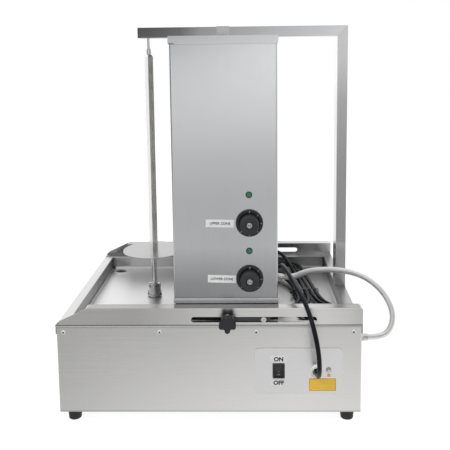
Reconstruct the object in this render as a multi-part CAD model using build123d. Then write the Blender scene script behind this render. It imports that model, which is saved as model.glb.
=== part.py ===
"""Vertical kebab grill: a base with a drip tray, a sliding heater housing and a driven skewer.

Frame: millimetres, +Z up, origin on the table under the middle of the base.
The control side faces -Y, and +X points to the side with the post.
"""
from build123d import *

import math
import os

# Base and drip tray
WIDTH = 540.0                # over the top frame's side skirts
DEPTH = 430.0                # over the front and back walls
FOOT_HEIGHT = 22.0
FRAME_TOP = 182.0            # height of the flat rims
SHEET = 1.5
THIN = 1.2
RIM_SIDE = 18.0              # rim left and right of the tray
RIM_END = 22.0               # rim under the rails
TRAY_FLOOR = 157.0
TRAY_FILLET = 7.0
SKIRT = 15.0
FOOT_X, FOOT_Y = 247.0, 193.0

# Slotted rails
RAIL_TOP = 214.0
RAIL_FLANGE = 20.0
RAIL_SLOPE = 57.0
SLOT_Z = 193.0
SLOT_HEIGHT = 10.0
SLOT_X = (-30.0, 190.0)

# Skewer, gallows and drive
SKEWER_X, SKEWER_Y = -125.0, 6.0
TUBE = 12.0
TUBE_Z = (256.0, 653.0)
TUBE_TURN = 41.0             # the tube's faces, turned from the row axes, in degrees
HOLE_PITCH = 20.5
HOLE_FIRST_Z = 281.0
HOLE_COUNT = 14
ROD_R = 4.1                  # rod inside the tube
STEM_R = 5.6                 # its thicker stem, from the disc down
PIN_R = 2.8
DISC_R = 63.0
DISC_THICK = 2.0
SOCKET_Z = (159.0, 184.0)
SOCKET_R = 12.3
RUNNING = 0.08               # radial play of a running fit
BAR_Z = (690.0, 710.0)
BAR_LEFT = -143.0
POST_X = (250.0, 270.0)
POST_DEPTH = 40.0
POST_WALL = 1.5

# Heater housing
HOUSE_X = (-61.4, 123.2)
HOUSE_Y = 193.0
HOUSE_Z = (215.0, 685.0)
COVER_LIP = 14.0
FLOOR_LIP = 9.0
REFLECTOR_X = 44.0
ELEMENT_X = 20.0
ELEMENT_R = 4.0
GUARD_X = 4.0
CONTROL_X = 73.5
UPPER_KNOB_Z, LOWER_KNOB_Z = 360.4, 260.0
LAMP_RISE = 50.1
STUD_X, GUIDE_X = 34.0, 97.0
STAR_TIP = 241.0             # how far the star knob stands out from the middle

# Plate with the switch and the cable outlet
PLATE_X = (80.5, 236.0)
PLATE_Z = (56.0, 141.0)
ROCKER_X, ROCKER_Z = 122.9, 99.3
ROCKER_TILT = 8.0
ROCKER_PIVOT_Y = -213.0
GROMMET_X, GROMMET_Z = 189.5, 98.0

# Cords
CORD_R = 4.0
CONDUIT_R = 5.5
HOUSE_GLAND = (123.2, -90.0, 228.0)
BASE_GLAND = (268.5, -180.0, 145.5)

HALF_W, HALF_D = WIDTH / 2, DEPTH / 2
WALL_X = HALF_W - SHEET      # outside of the base's side walls
FRAME_UNDER = FRAME_TOP - SHEET
parts = {}


def block(x, y, z):
    """A box between the low and high values of each axis."""
    size = [high - low for low, high in (x, y, z)]
    centre = [(low + high) / 2 for low, high in (x, y, z)]
    return Pos(*centre) * Box(*size)


def rod(axis, centre, radius, start, end):
    """A cylinder along a row axis; centre gives its other two coordinates in X, Y, Z order."""
    mid, length = (start + end) / 2, end - start
    turn = {"x": Rot(0, 90, 0), "y": Rot(90, 0, 0), "z": Rot(0, 0, 0)}[axis]
    spot = list(centre)
    spot.insert("xyz".index(axis), mid)
    return Pos(*spot) * turn * Cylinder(radius, length)


def cone(centre, start_y, end_y, start_r, end_r):
    """A cone along Y from start_y down to end_y, about centre in X and Z."""
    length = start_y - end_y
    place = Pos(centre[0], (start_y + end_y) / 2, centre[1]) * Rot(90, 0, 0)
    return place * Cone(start_r, end_r, length)


def slab(points, axis, low, high):
    """A flat polygon extruded along an axis; the points are in the other two axes, in order."""
    plane = {
        "y": Plane(origin=(0, low, 0), x_dir=(1, 0, 0), z_dir=(0, 1, 0)),
        "z": Plane(origin=(0, 0, low), x_dir=(1, 0, 0), z_dir=(0, 0, 1)),
        "x": Plane(origin=(low, 0, 0), x_dir=(0, 1, 0), z_dir=(1, 0, 0)),
    }[axis]
    if axis == "y":
        points = [(a, -b) for a, b in points]
    face = make_face(Polyline(*points, close=True).edges())
    return extrude(plane * face, high - low)


def slotted(x, y, z, height):
    """A slot along X with round ends, cut through the span y."""
    half = height / 2
    body = block((x[0] + half, x[1] - half), y, (z - half, z + half))
    for end in (x[0] + half, x[1] - half):
        body += rod("y", (end, z), half, *y)
    return body


def mirrored(solid):
    """The same piece on the other side of the middle plane Y = 0."""
    return mirror(solid, Plane.XZ)


# Base


def base_shell():
    """Four walls, with windows for the plate, the conduit and the grease drawer."""
    body = block((-WALL_X, WALL_X), (-HALF_D, HALF_D), (FOOT_HEIGHT, FRAME_UNDER))
    body = fillet(body.edges().filter_by(Axis.Z), 2)
    inner = (WALL_X - SHEET, HALF_D - SHEET)
    body -= block((-inner[0], inner[0]), (-inner[1], inner[1]), (0, FRAME_TOP))
    body -= block((PLATE_X[0] + 10, PLATE_X[1] - 10), (-HALF_D - 5, -HALF_D + 5),
                  (PLATE_Z[0] + 10, PLATE_Z[1] - 10))
    for x in SCREW_X:
        body -= rod("y", (x, SCREW_Z), 2.2, -HALF_D - 5, HALF_D + 5)
    for spot in RIVETS:
        body -= rod("y", spot, RIVET_R, -HALF_D - 5, -HALF_D + 5)
    body -= rod("x", BASE_GLAND[1:], 6.2, WALL_X - 10, WALL_X + 10)
    body -= block((DRAWER_X[0] - 2, DRAWER_X[1] + 2), (HALF_D - 5, HALF_D + 5),
                  (0, DRAWER_Z[1] + 2))
    return body


SCREW_X = (-256.0, -86.0, 84.0, 254.0)
SCREW_Z = 170.5


def bottom_plate():
    """Pan that closes the base from below, with vent slots and holes for the feet."""
    x, y = WALL_X - SHEET - 0.2, HALF_D - SHEET - 0.2
    lip = 12.0
    body = block((-x, x), (-y, y), (FOOT_HEIGHT, FOOT_HEIGHT + lip))
    body -= block((-x + SHEET, x - SHEET), (-y + SHEET, y - SHEET),
                  (FOOT_HEIGHT + SHEET, FOOT_HEIGHT + lip + 1))
    body -= block((DRAWER_X[0] - 2, DRAWER_X[1] + 2), (y - 5, y + 5),
                  (FOOT_HEIGHT + SHEET, FOOT_HEIGHT + lip + 1))
    for x_mid in (-40.0, 60.0):
        for row in range(8):
            y_mid = -105.0 + 30.0 * row
            body -= block((x_mid - 35, x_mid + 35), (y_mid - 3, y_mid + 3), (0, 40))
    for sx in (-1, 1):
        for sy in (-1, 1):
            body -= rod("z", (sx * FOOT_X, sy * FOOT_Y), 3.2, 0, 40)
    return body


def feet():
    """Four tapered rubber feet, each with its moulded-in stud."""
    group = []
    for sx in (-1, 1):
        for sy in (-1, 1):
            place = Pos(sx * FOOT_X, sy * FOOT_Y, FOOT_HEIGHT / 2)
            foot = place * Cone(11.3, 13.1, FOOT_HEIGHT)
            foot = fillet(foot.edges().group_by(Axis.Z)[0], 2)
            foot += rod("z", (sx * FOOT_X, sy * FOOT_Y), 3.0, FOOT_HEIGHT - 1, FOOT_HEIGHT + 1.5)
            group.append(foot)
    return group


def top_frame():
    """Flat rim round the tray, with skirts over the side walls and flanges behind the end walls."""
    body = block((-HALF_W, HALF_W), (-HALF_D, HALF_D), (FRAME_UNDER, FRAME_TOP))
    for s in (-1, 1):
        edge = sorted((s * WALL_X, s * HALF_W))
        body += block(edge, (-HALF_D, HALF_D), (FRAME_TOP - SKIRT, FRAME_TOP))
        flange = sorted((s * (HALF_D - 3.2), s * (HALF_D - 1.7)))
        body += block((-258, 262), flange, (FRAME_UNDER - SKIRT, FRAME_UNDER))
    opening = block((-HALF_W + RIM_SIDE, HALF_W - RIM_SIDE), (-HALF_D + RIM_END, HALF_D - RIM_END),
                    (FRAME_UNDER - 1, FRAME_TOP + 1))
    body -= fillet(opening.edges().filter_by(Axis.Z), 6)
    for x in SCREW_X:
        body -= rod("y", (x, SCREW_Z), 2.2, -HALF_D - 5, HALF_D + 5)
    for y in POST_BOLT_Y:
        body -= rod("z", (POST_MID_X, y), 3.2, FRAME_UNDER - 5, FRAME_TOP + 5)
    return body


POST_MID_X = (POST_X[0] + POST_X[1]) / 2
POST_BOLT_Y = (SKEWER_Y - 10, SKEWER_Y + 10)


def rail():
    """Front rail: a channel with a slot, sloped at the left end and square at the right."""
    low, high = FRAME_TOP, RAIL_TOP
    web_y = (-HALF_D, -HALF_D + SHEET)
    flange_y = (-HALF_D, -HALF_D + RAIL_FLANGE)
    body = block((-HALF_W, HALF_W), web_y, (low, high))
    body += block((-HALF_W, HALF_W), flange_y, (high - SHEET, high))
    body += block((-HALF_W, HALF_W), (flange_y[0], flange_y[1] - 4), (low, low + SHEET))
    slope = [(-HALF_W - 1, low + 1), (-HALF_W + 7, low + 9), (-HALF_W + RAIL_SLOPE, high),
             (-HALF_W + RAIL_SLOPE, high + 5), (-HALF_W - 1, high + 5)]
    body -= slab(slope, "y", -HALF_D - 5, -HALF_D + RAIL_FLANGE + 5)
    corner = [(HALF_W - 5, high - SHEET / 2), (HALF_W - 1.5, high - 1.6), (HALF_W, high - 5),
              (HALF_W + 1, high + 1), (HALF_W - 5, high + 1)]
    body -= slab(corner, "y", -HALF_D - 5, -HALF_D + RAIL_FLANGE + 5)
    body -= slotted(SLOT_X, (-HALF_D - 5, -HALF_D + 5), SLOT_Z, SLOT_HEIGHT)
    return body


def drip_tray():
    """Pan hung in the frame's opening, with the shaft hole and the drain and its spout."""
    x, y = HALF_W - RIM_SIDE - 0.2, HALF_D - RIM_END - 0.2
    low = TRAY_FLOOR - THIN
    body = block((-x, x), (-y, y), (low, FRAME_TOP - 0.3))
    body = fillet(body.edges().filter_by(Axis.Z), 6)
    body = fillet(body.edges().group_by(Axis.Z)[0], TRAY_FILLET + THIN)
    hollow = block((-x + THIN, x - THIN), (-y + THIN, y - THIN), (TRAY_FLOOR, FRAME_TOP + 20))
    hollow = fillet(hollow.edges().filter_by(Axis.Z), 6 - THIN)
    hollow = fillet(hollow.edges().group_by(Axis.Z)[0], TRAY_FILLET - 2.5)
    lip = block((-x - 2.5, x + 2.5), (-y - 2.5, y + 2.5), (FRAME_UNDER - THIN, FRAME_UNDER))
    body += lip
    body += rod("z", DRAIN, DRAIN_R + THIN, SPOUT_END, low + 0.5)
    body -= hollow
    body -= rod("z", DRAIN, DRAIN_R, SPOUT_END - 1, TRAY_FLOOR + 1)
    body -= rod("z", (SKEWER_X, SKEWER_Y), 9.1, low - 1, TRAY_FLOOR + 1)
    return body


DRAIN = (-227.0, 167.0)
DRAIN_R = 14.0
SPOUT_END = 84.0
DRAWER_X = (-262.0, -162.0)
DRAWER_Z = (FOOT_HEIGHT + SHEET + 0.3, 80.0)
DRAWER_BACK = 70.0


def grease_drawer():
    """Open box on the base's floor under the spout, with its front and bow handle."""
    front = HALF_D + 1.5
    body = block(DRAWER_X, (DRAWER_BACK, HALF_D), DRAWER_Z)
    body -= block((DRAWER_X[0] + THIN, DRAWER_X[1] - THIN), (DRAWER_BACK + THIN, HALF_D - THIN),
                  (DRAWER_Z[0] + THIN, DRAWER_Z[1] + 1))
    body += block((DRAWER_X[0] - 4, DRAWER_X[1] + 4), (HALF_D - 0.1 + 0.4, front), (28, 92))
    body += block((DRAWER_X[0] + THIN, DRAWER_X[1] - THIN), (HALF_D - THIN, HALF_D + 0.5), (30, 78))
    middle = (DRAWER_X[0] + DRAWER_X[1]) / 2
    grip = block((middle - 26, middle + 26), (front - 0.5, STAR_TIP), (56, 63))
    grip = fillet(grip.edges().filter_by(Axis.Z).group_by(Axis.Y)[-1], 6)
    grip -= block((middle - 20, middle + 20), (front, STAR_TIP - 6), (50, 70))
    return body + grip


# Drive under the tray


def motor_bracket():
    """Hat bracket welded under the tray floor, with the gear motor hung in it."""
    low, high = 140.0, TRAY_FLOOR - THIN
    x = (SKEWER_X - 62, SKEWER_X + 62)
    y = (SKEWER_Y - 40, SKEWER_Y + 40)
    body = block(x, y, (low, low + 2))
    for end in (x[0], x[1] - 2):
        body += block((end, end + 2), y, (low, high))
    body -= rod("z", (SKEWER_X, SKEWER_Y), 12, low - 1, low + 3)
    return body


def gear_motor():
    """Gearbox with its round motor below it; the output bore is open at the top."""
    top = 140.0
    body = block((SKEWER_X - 42, SKEWER_X + 42), (SKEWER_Y - 33, SKEWER_Y + 33), (top - 38, top))
    body = fillet(body.edges().filter_by(Axis.Z), 5)
    body += rod("z", (SKEWER_X, SKEWER_Y), 29, top - 92, top - 38)
    body += rod("z", (SKEWER_X, SKEWER_Y), 11, top - 1, top + 5)
    body -= rod("z", (SKEWER_X, SKEWER_Y), 5.06, top - 12, top + 6)
    return body


def shaft_bush():
    """Flanged bush and seal where the shaft passes the tray floor."""
    centre = (SKEWER_X, SKEWER_Y)
    body = rod("z", centre, 9.0, TRAY_FLOOR - 7, TRAY_FLOOR)
    body += rod("z", centre, 12.0, TRAY_FLOOR, TRAY_FLOOR + 1.4)
    body -= rod("z", centre, 5.06, TRAY_FLOOR - 8, TRAY_FLOOR + 2)
    return body


def drive_shaft():
    """Output shaft of the gear motor, up into the socket."""
    return rod("z", (SKEWER_X, SKEWER_Y), 5.0, 128.4, SOCKET_Z[0] + 10)


def drive_socket():
    """Round socket with a foot flange, a blind bore and a cross slot for the skewer's pin."""
    centre = (SKEWER_X, SKEWER_Y)
    body = rod("z", centre, SOCKET_R, *SOCKET_Z)
    body = chamfer(body.edges().group_by(Axis.Z)[-1], 1.2)
    body += rod("z", centre, SOCKET_R + 2.5, SOCKET_Z[0], SOCKET_Z[0] + 2)
    body -= rod("z", centre, STEM_R + RUNNING, SOCKET_Z[0] + 12, SOCKET_Z[1] + 1)
    body -= rod("z", centre, 5.0, SOCKET_Z[0] - 1, SOCKET_Z[0] + 10)
    slot = block((-15, 15), (-2.3, 2.3), (SOCKET_Z[1] - 7, SOCKET_Z[1] + 1))
    slot += block((-2.3, 2.3), (-15, 15), (SOCKET_Z[1] - 7, SOCKET_Z[1] + 1))
    body -= Pos(*centre, 0) * Rot(0, 0, TUBE_TURN) * slot
    body -= rod("x", (SKEWER_Y, SOCKET_Z[0] + 5.5), 2.6, SKEWER_X - 15, SKEWER_X + 15)
    return body


def socket_screws():
    """Two set screws that clamp the socket to the shaft."""
    group = []
    for s in (-1, 1):
        span = sorted((SKEWER_X + s * 5.1, SKEWER_X + s * (SOCKET_R + 0.5)))
        head = sorted((SKEWER_X + s * (SOCKET_R + 0.1), SKEWER_X + s * (SOCKET_R + 2.3)))
        screw = rod("x", (SKEWER_Y, SOCKET_Z[0] + 5.5), 2.5, *span)
        screw += rod("x", (SKEWER_Y, SOCKET_Z[0] + 5.5), 3.3, *head)
        group.append(screw)
    return group


# Skewer and gallows


def skewer_rod():
    """Rod with a thicker stem below the disc, the cross pin and the thin top pin."""
    centre = (SKEWER_X, SKEWER_Y)
    shoulder = TUBE_Z[0] - DISC_THICK - 0.1
    body = rod("z", centre, STEM_R, SOCKET_Z[0] + 12.4, shoulder)
    body += rod("z", centre, ROD_R, shoulder - 1, TUBE_Z[1] + 4.5)
    body += rod("z", centre, PIN_R, TUBE_Z[1] + 4, BAR_Z[1] - 3)
    turn = Rot(0, 0, TUBE_TURN) * Rot(0, 90, 0)
    pin = Pos(*centre, SOCKET_Z[1] - 3.5) * turn * Cylinder(2.0, 20)
    return body + pin


def skewer_tube():
    """Square tube on the rod, with a row of holes through two faces and a tapered top."""
    low, high = TUBE_Z
    outer = Box(TUBE, TUBE, high - low)
    outer -= Box(TUBE - 2.4, TUBE - 2.4, high - low + 1)
    for i in range(HOLE_COUNT):
        z = HOLE_FIRST_Z + HOLE_PITCH * i - (low + high) / 2
        outer -= Pos(0, 0, z) * Rot(90, 0, 0) * Cylinder(2.2, TUBE * 2)
    body = Pos(0, 0, (low + high) / 2) * outer
    top = Pos(0, 0, high) * extrude(Rectangle(TUBE, TUBE), 4.5, taper=24)
    top -= Pos(0, 0, high) * Cylinder(ROD_R + 0.1, 20)
    return Pos(SKEWER_X, SKEWER_Y, 0) * Rot(0, 0, TUBE_TURN) * (body + top)


def top_collar():
    """Round collar on the top pin that keeps the tube down."""
    low = TUBE_Z[1] + 4.6
    body = rod("z", (SKEWER_X, SKEWER_Y), 4.7, low, low + 12)
    body = chamfer(body.edges().group_by(Axis.Z)[-1] + body.edges().group_by(Axis.Z)[0], 1)
    return body - rod("z", (SKEWER_X, SKEWER_Y), PIN_R, low - 1, low + 14)


def meat_disc():
    """Thin round plate under the meat, with a hub round the rod."""
    centre = (SKEWER_X, SKEWER_Y)
    top, under = TUBE_Z[0], TUBE_Z[0] - DISC_THICK
    body = rod("z", centre, DISC_R, under, top)
    body = fillet(body.edges(), 0.8)
    body += rod("z", centre, 9.0, under - 5, under + 0.5)
    body -= rod("z", centre, STEM_R + 0.1, under - 6, under)
    return body - rod("z", centre, ROD_R + 0.1, under - 1, top + 1)


def post():
    """Rectangular tube on the right rim, mitred to the bar, with a foot plate inside."""
    x, y = POST_X, (SKEWER_Y - POST_DEPTH / 2, SKEWER_Y + POST_DEPTH / 2)
    w = POST_WALL
    shape = [(x[0], FRAME_TOP), (x[1], FRAME_TOP), (x[1], BAR_Z[1]), (x[0], BAR_Z[0])]
    core = [(x[0] + w, FRAME_TOP + 4), (x[1] - w, FRAME_TOP + 4), (x[1] - w, BAR_Z[1] - w),
            (x[0] + w, BAR_Z[0] + w)]
    body = slab(shape, "y", *y) - slab(core, "y", y[0] + w, y[1] - w)
    for bolt_y in POST_BOLT_Y:
        body -= rod("z", (POST_MID_X, bolt_y), 3.0, FRAME_TOP - 1, FRAME_TOP + 5)
    return body


def top_bar():
    """The same tube laid flat over the housing, closed at its free end."""
    x, y = POST_X, (SKEWER_Y - POST_DEPTH / 2, SKEWER_Y + POST_DEPTH / 2)
    w = POST_WALL
    shape = [(BAR_LEFT, BAR_Z[0]), (x[0], BAR_Z[0]), (x[1], BAR_Z[1]), (BAR_LEFT, BAR_Z[1])]
    core = [(BAR_LEFT + w, BAR_Z[0] + w), (x[0] + w, BAR_Z[0] + w), (x[1] - w, BAR_Z[1] - w),
            (BAR_LEFT + w, BAR_Z[1] - w)]
    body = slab(shape, "y", *y) - slab(core, "y", y[0] + w, y[1] - w)
    return body - rod("z", (SKEWER_X, SKEWER_Y), 6.0, BAR_Z[0] - 1, BAR_Z[1] + 1)


def bar_bush():
    """Bush across the bar that guides the skewer's top pin."""
    body = rod("z", (SKEWER_X, SKEWER_Y), 6.0, *BAR_Z)
    return body - rod("z", (SKEWER_X, SKEWER_Y), PIN_R + RUNNING, BAR_Z[0] - 1, BAR_Z[1] + 1)


def bar_clip():
    """Bent sleeve clipped over the bar."""
    y = (SKEWER_Y - POST_DEPTH / 2, SKEWER_Y + POST_DEPTH / 2)
    body = block((12.6, 38), (y[0] - 1.2, y[1] + 1.2), (BAR_Z[0] + 5, BAR_Z[1] + 1.2))
    return body - block((10, 40), y, (BAR_Z[0], BAR_Z[1]))


# Heater housing


def housing_shell():
    """Folded sheet: front, right and back panels, with short returns at the open left side."""
    x, y = HOUSE_X, HOUSE_Y
    low, high = HOUSE_Z[0] + THIN, HOUSE_Z[1] - THIN - 0.2
    body = block(x, (-y, y), (low, high))
    body = fillet(body.edges().filter_by(Axis.Z), 3)
    core = block((x[0] + THIN, x[1] - THIN), (-y + THIN, y - THIN), (low - 1, high + 1))
    body -= fillet(core.edges().filter_by(Axis.Z), 1.8)
    body -= block((x[0] - 1, x[0] + 2), (-y + 12, y - 12), (low - 1, high + 1))
    for z in (UPPER_KNOB_Z, LOWER_KNOB_Z):
        body -= rod("y", (CONTROL_X, z), 4.0, -y - 5, -y + 5)
        body -= rod("y", (CONTROL_X - 0.5, z + LAMP_RISE), 4.6, -y - 5, -y + 5)
    return body - rod("x", HOUSE_GLAND[1:], 6.2, x[1] - 5, x[1] + 5)


def housing_cover():
    """Cap over the housing's top, notched at the corners of its lip."""
    x, y, z = HOUSE_X, HOUSE_Y, HOUSE_Z
    gap, wall = 0.1, 1.2
    out = gap + wall
    body = block((x[0] - out, x[1] + out), (-y - out, y + out), (z[1] - COVER_LIP, z[1]))
    body -= block((x[0] - gap, x[1] + gap), (-y - gap, y + gap), (z[1] - COVER_LIP - 1, z[1] - wall))
    notch = [(x[0] - 2, z[1] - COVER_LIP - 1), (x[0] + 12, z[1] - COVER_LIP - 1),
             (x[0] + 7, z[1] - COVER_LIP + 3), (x[0] - 2, z[1] - COVER_LIP + 1)]
    return body - slab(notch, "y", -y - 3, -y)


def housing_floor():
    """Shallow pan under the housing, its lip outside the shell."""
    x, y, z = HOUSE_X, HOUSE_Y, HOUSE_Z[0]
    body = block((x[0] - 0.9, x[1] + 0.9), (-y - 0.9, y + 0.9), (z, z + FLOOR_LIP))
    body -= block((x[0] - 0.05, x[1] + 0.05), (-y - 0.05, y + 0.05), (z + THIN, z + FLOOR_LIP + 1))
    for row in range(6):
        y_mid = -125.0 + 50.0 * row
        body -= block((66, 104), (y_mid - 3, y_mid + 3), (z - 1, z + 3))
    gland_y = HOUSE_GLAND[1]
    return body - block((x[1] - 0.2, x[1] + 2), (gland_y - 9, gland_y + 9), (z + 3, z + FLOOR_LIP + 1))


REFLECTOR_HALF = 120.0
REFLECTOR_EDGE = (-50.0, 179.0)


def heat_reflector():
    """Folded sheet behind the elements: a flat back with two splayed sides."""
    t = 1.0
    front = [(REFLECTOR_EDGE[0], -REFLECTOR_EDGE[1]), (REFLECTOR_X, -REFLECTOR_HALF),
             (REFLECTOR_X, REFLECTOR_HALF), (REFLECTOR_EDGE[0], REFLECTOR_EDGE[1])]
    back = [(REFLECTOR_EDGE[0], REFLECTOR_EDGE[1] + t * 1.3), (REFLECTOR_X + t, REFLECTOR_HALF + t),
            (REFLECTOR_X + t, -REFLECTOR_HALF - t), (REFLECTOR_EDGE[0], -REFLECTOR_EDGE[1] - t * 1.3)]
    body = slab(front + back, "z", HOUSE_Z[0] + 3, HOUSE_Z[1] - 4)
    for start in ELEMENT_START:
        for y, z in element_ends(start):
            body -= rod("x", (y, z), ELEMENT_R + 0.5, REFLECTOR_X - 5, REFLECTOR_X + 5)
    return body


ELEMENT_START = (250.0, 468.0)
ELEMENT_HALF = 92.0
ELEMENT_STEP = 40.0
ELEMENT_PASSES = 5


def element_ends(start):
    """Where an element's two ends pass the reflector, as Y and Z."""
    last = start + ELEMENT_STEP * (ELEMENT_PASSES - 1)
    return (-ELEMENT_HALF, start), (ELEMENT_HALF, last)


def heating_element(start):
    """Tubular element bent to and fro in front of the reflector."""
    points = [(REFLECTOR_X + 14, -ELEMENT_HALF, start)]
    side = -1
    for i in range(ELEMENT_PASSES):
        z = start + ELEMENT_STEP * i
        points.append((ELEMENT_X, side * ELEMENT_HALF, z))
        points.append((ELEMENT_X, -side * ELEMENT_HALF, z))
        side = -side
    points.append((REFLECTOR_X + 14, points[-1][1], points[-1][2]))
    path = FilletPolyline(*points, radius=12)
    return sweep(Plane(path @ 0, z_dir=path % 0) * Circle(ELEMENT_R), path=path)


def element_holders():
    """Ceramic strips between the reflector and the elements."""
    group = []
    back = (ELEMENT_X + ELEMENT_R + 0.1, REFLECTOR_X - 0.1)
    for start in ELEMENT_START:
        for y in (-55.0, 55.0):
            end = start + ELEMENT_STEP * (ELEMENT_PASSES - 1)
            group.append(block(back, (y - 4, y + 4), (start - 8, end + 8)))
    return group


def guard_grille():
    """Wire guard in front of the elements: two uprights with cross wires."""
    half = 141.0
    low, high = HOUSE_Z[0] + 12, HOUSE_Z[1] - 18
    body = rod("z", (GUARD_X, -half), 2.0, low, high)
    for y in (0.0, half):
        body += rod("z", (GUARD_X, y), 2.0, low, high)
    count = 10
    for i in range(count):
        z = low + 8 + (high - low - 16) * i / (count - 1)
        body += rod("y", (GUARD_X, z), 1.3, -half, half)
    return body


def carriage():
    """Guide bar that runs inside the front rail, on a plate hung from the housing's floor."""
    bar, plate = (STUD_X - 12, GUIDE_X + 12), (HOUSE_X[0] + 2, HOUSE_X[1])
    body = block(bar, (-HALF_D + 2.3, -HOUSE_Y + 2.5), (SLOT_Z - 9, SLOT_Z + 9))
    body += block(plate, (-HOUSE_Y - 0.5, -HOUSE_Y + 2.5), (SLOT_Z - 9, HOUSE_Z[0]))
    for bolt_x in (STUD_X, GUIDE_X):
        body -= rod("y", (bolt_x, SLOT_Z), 4.0, -HALF_D, -HOUSE_Y + 5)
    return body


def clamp_stud():
    """Threaded stud with its slot collar, and the washer under the star knob."""
    web = -HALF_D
    stud = rod("y", (STUD_X, SLOT_Z), 4.0, web - 15, -HOUSE_Y + 2)
    stud += rod("y", (STUD_X, SLOT_Z), 4.8, web - 0.3, web + 2.2)
    washer = rod("y", (STUD_X, SLOT_Z), 9.0, web - 1.8, web - 0.4)
    return [stud, washer - rod("y", (STUD_X, SLOT_Z), 4.1, web - 3, web + 1)]


def guide_bolts():
    """Shoulder bolts in the slots: one in front, two at the back with flat heads."""
    web = HALF_D
    group = []
    front = rod("y", (GUIDE_X, SLOT_Z), 4.0, -web + 2.2, -HOUSE_Y + 2)
    group.append(front + rod("y", (GUIDE_X, SLOT_Z), 4.8, -web - 0.6, -web + 2.2))
    for x in (STUD_X, GUIDE_X):
        bolt = rod("y", (x, SLOT_Z), 4.0, HOUSE_Y - 2, web - 2.2)
        bolt += rod("y", (x, SLOT_Z), 4.8, web - 2.2, web + 0.4)
        group.append(bolt + rod("y", (x, SLOT_Z), 8.0, web + 0.4, web + 4))
    return group


def star_knob():
    """Five-lobed clamping knob, one lobe down, with a threaded bore."""
    back, front = -HALF_D - 2.0, -STAR_TIP
    centre = (STUD_X, SLOT_Z)
    body = rod("y", centre, 10.4, front, front + 14)
    for i in range(5):
        angle = math.radians(-90 + 72 * i)
        spot = (centre[0] + 10.6 * math.cos(angle), centre[1] + 10.6 * math.sin(angle))
        body += rod("y", spot, 4.8, front, front + 14)
    body = fillet(body.edges().filter_by(Axis.Y), 1.5)
    body = fillet(body.faces().sort_by(Axis.Y)[0].edges(), 1.2)
    body += rod("y", centre, 7.0, front + 8, back)
    return body - rod("y", centre, 4.06, -HALF_D - 17, -HALF_D)


def regulator(z):
    """Energy regulator behind the front panel."""
    y = -HOUSE_Y + THIN
    body = block((CONTROL_X - 21, CONTROL_X + 21), (y + 2, y + 36), (z - 21, z + 21))
    body += block((CONTROL_X - 14, CONTROL_X + 14), (y + 0.1, y + 2.1), (z - 14, z + 14))
    return body - rod("y", (CONTROL_X, z), 3.3, y - 1, y + 12)


def control_knob(z):
    """Knob with a flat skirt and a raised cap, and its spindle behind."""
    centre = (CONTROL_X, z)
    back = -HOUSE_Y - 1.2
    skirt = rod("y", centre, 24.0, back - 3, back)
    skirt = fillet(skirt.faces().sort_by(Axis.Y)[0].edges(), 1.2)
    cap = cone(centre, back - 2.5, back - 19, 17.0, 15.6)
    for i in range(24):
        angle = 2 * math.pi * i / 24
        spot = (centre[0] + 17.6 * math.cos(angle), centre[1] + 17.6 * math.sin(angle))
        cap -= rod("y", spot, 1.3, back - 20, back - 5)
    body = skirt + cap
    body -= rod("y", centre, 4.9, back - 20, back - 17.5)
    return body + rod("y", centre, 3.0, back - 1, back + 12)


def knob_face(z):
    """Bright round insert in a knob's cap, with two small holes."""
    centre = (CONTROL_X, z)
    back = -HOUSE_Y - 1.2
    body = rod("y", centre, 4.8, back - 19.6, back - 17.5)
    for s in (-1, 1):
        body -= rod("y", (centre[0] + s * 2.2, z), 0.8, back - 21, back - 18.6)
    return body


def pilot_lamps():
    """Round pilot lamps, each with a flange, a lens and a body behind the panel."""
    group = []
    for z in (UPPER_KNOB_Z + LAMP_RISE, LOWER_KNOB_Z + LAMP_RISE):
        centre = (CONTROL_X - 0.5, z)
        lamp = rod("y", centre, 5.9, -HOUSE_Y - 3.5, -HOUSE_Y)
        lamp = fillet(lamp.faces().sort_by(Axis.Y)[0].edges(), 1.5)
        group.append(lamp + rod("y", centre, 4.5, -HOUSE_Y - 1, -HOUSE_Y + 18))
    return group


def zone_labels():
    """Two thin label strips, left of the knobs."""
    strip = Box(50, 0.4, 13.6)
    places = ((22.0, 359.7, 1.2), (24.2, 259.3, 1.6))
    return [Pos(x, -HOUSE_Y - 0.2, z) * Rot(0, turn, 0) * strip for x, z, turn in places]


def gland(place, length):
    """Conduit gland along +X: a hexagon nut and a sleeve, and a short nose inside the wall."""
    x, y, z = place
    nut = Pos(x + 4, y, z) * Rot(0, 90, 0) * extrude(RegularPolygon(7.6, 6), 4, both=True)
    body = nut + rod("x", (y, z), 6.3, x + 8, x + length)
    body += rod("x", (y, z), 6.0, x - 6, x + 1)
    return body


# Plate with the switch, the outlet and the earth terminal


def access_plate():
    """Rounded plate over the window in the front wall."""
    y = (-HALF_D - 1.0, -HALF_D)
    body = block(PLATE_X, y, PLATE_Z)
    body = fillet(body.edges().filter_by(Axis.Y), 8)
    body -= block((ROCKER_X - 9.6, ROCKER_X + 9.6), (y[0] - 1, y[1] + 1),
                  (ROCKER_Z - 12.3, ROCKER_Z + 12.3))
    body -= rod("y", (GROMMET_X, GROMMET_Z), 8.6, y[0] - 1, y[1] + 1)
    body -= rod("y", EARTH, 2.6, y[0] - 1, y[1] + 1)
    return body


EARTH = (211.3, 99.5)
RIVETS = ((78.7, 135.0), (220.6, 54.6))
RIVET_R = 0.8


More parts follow.
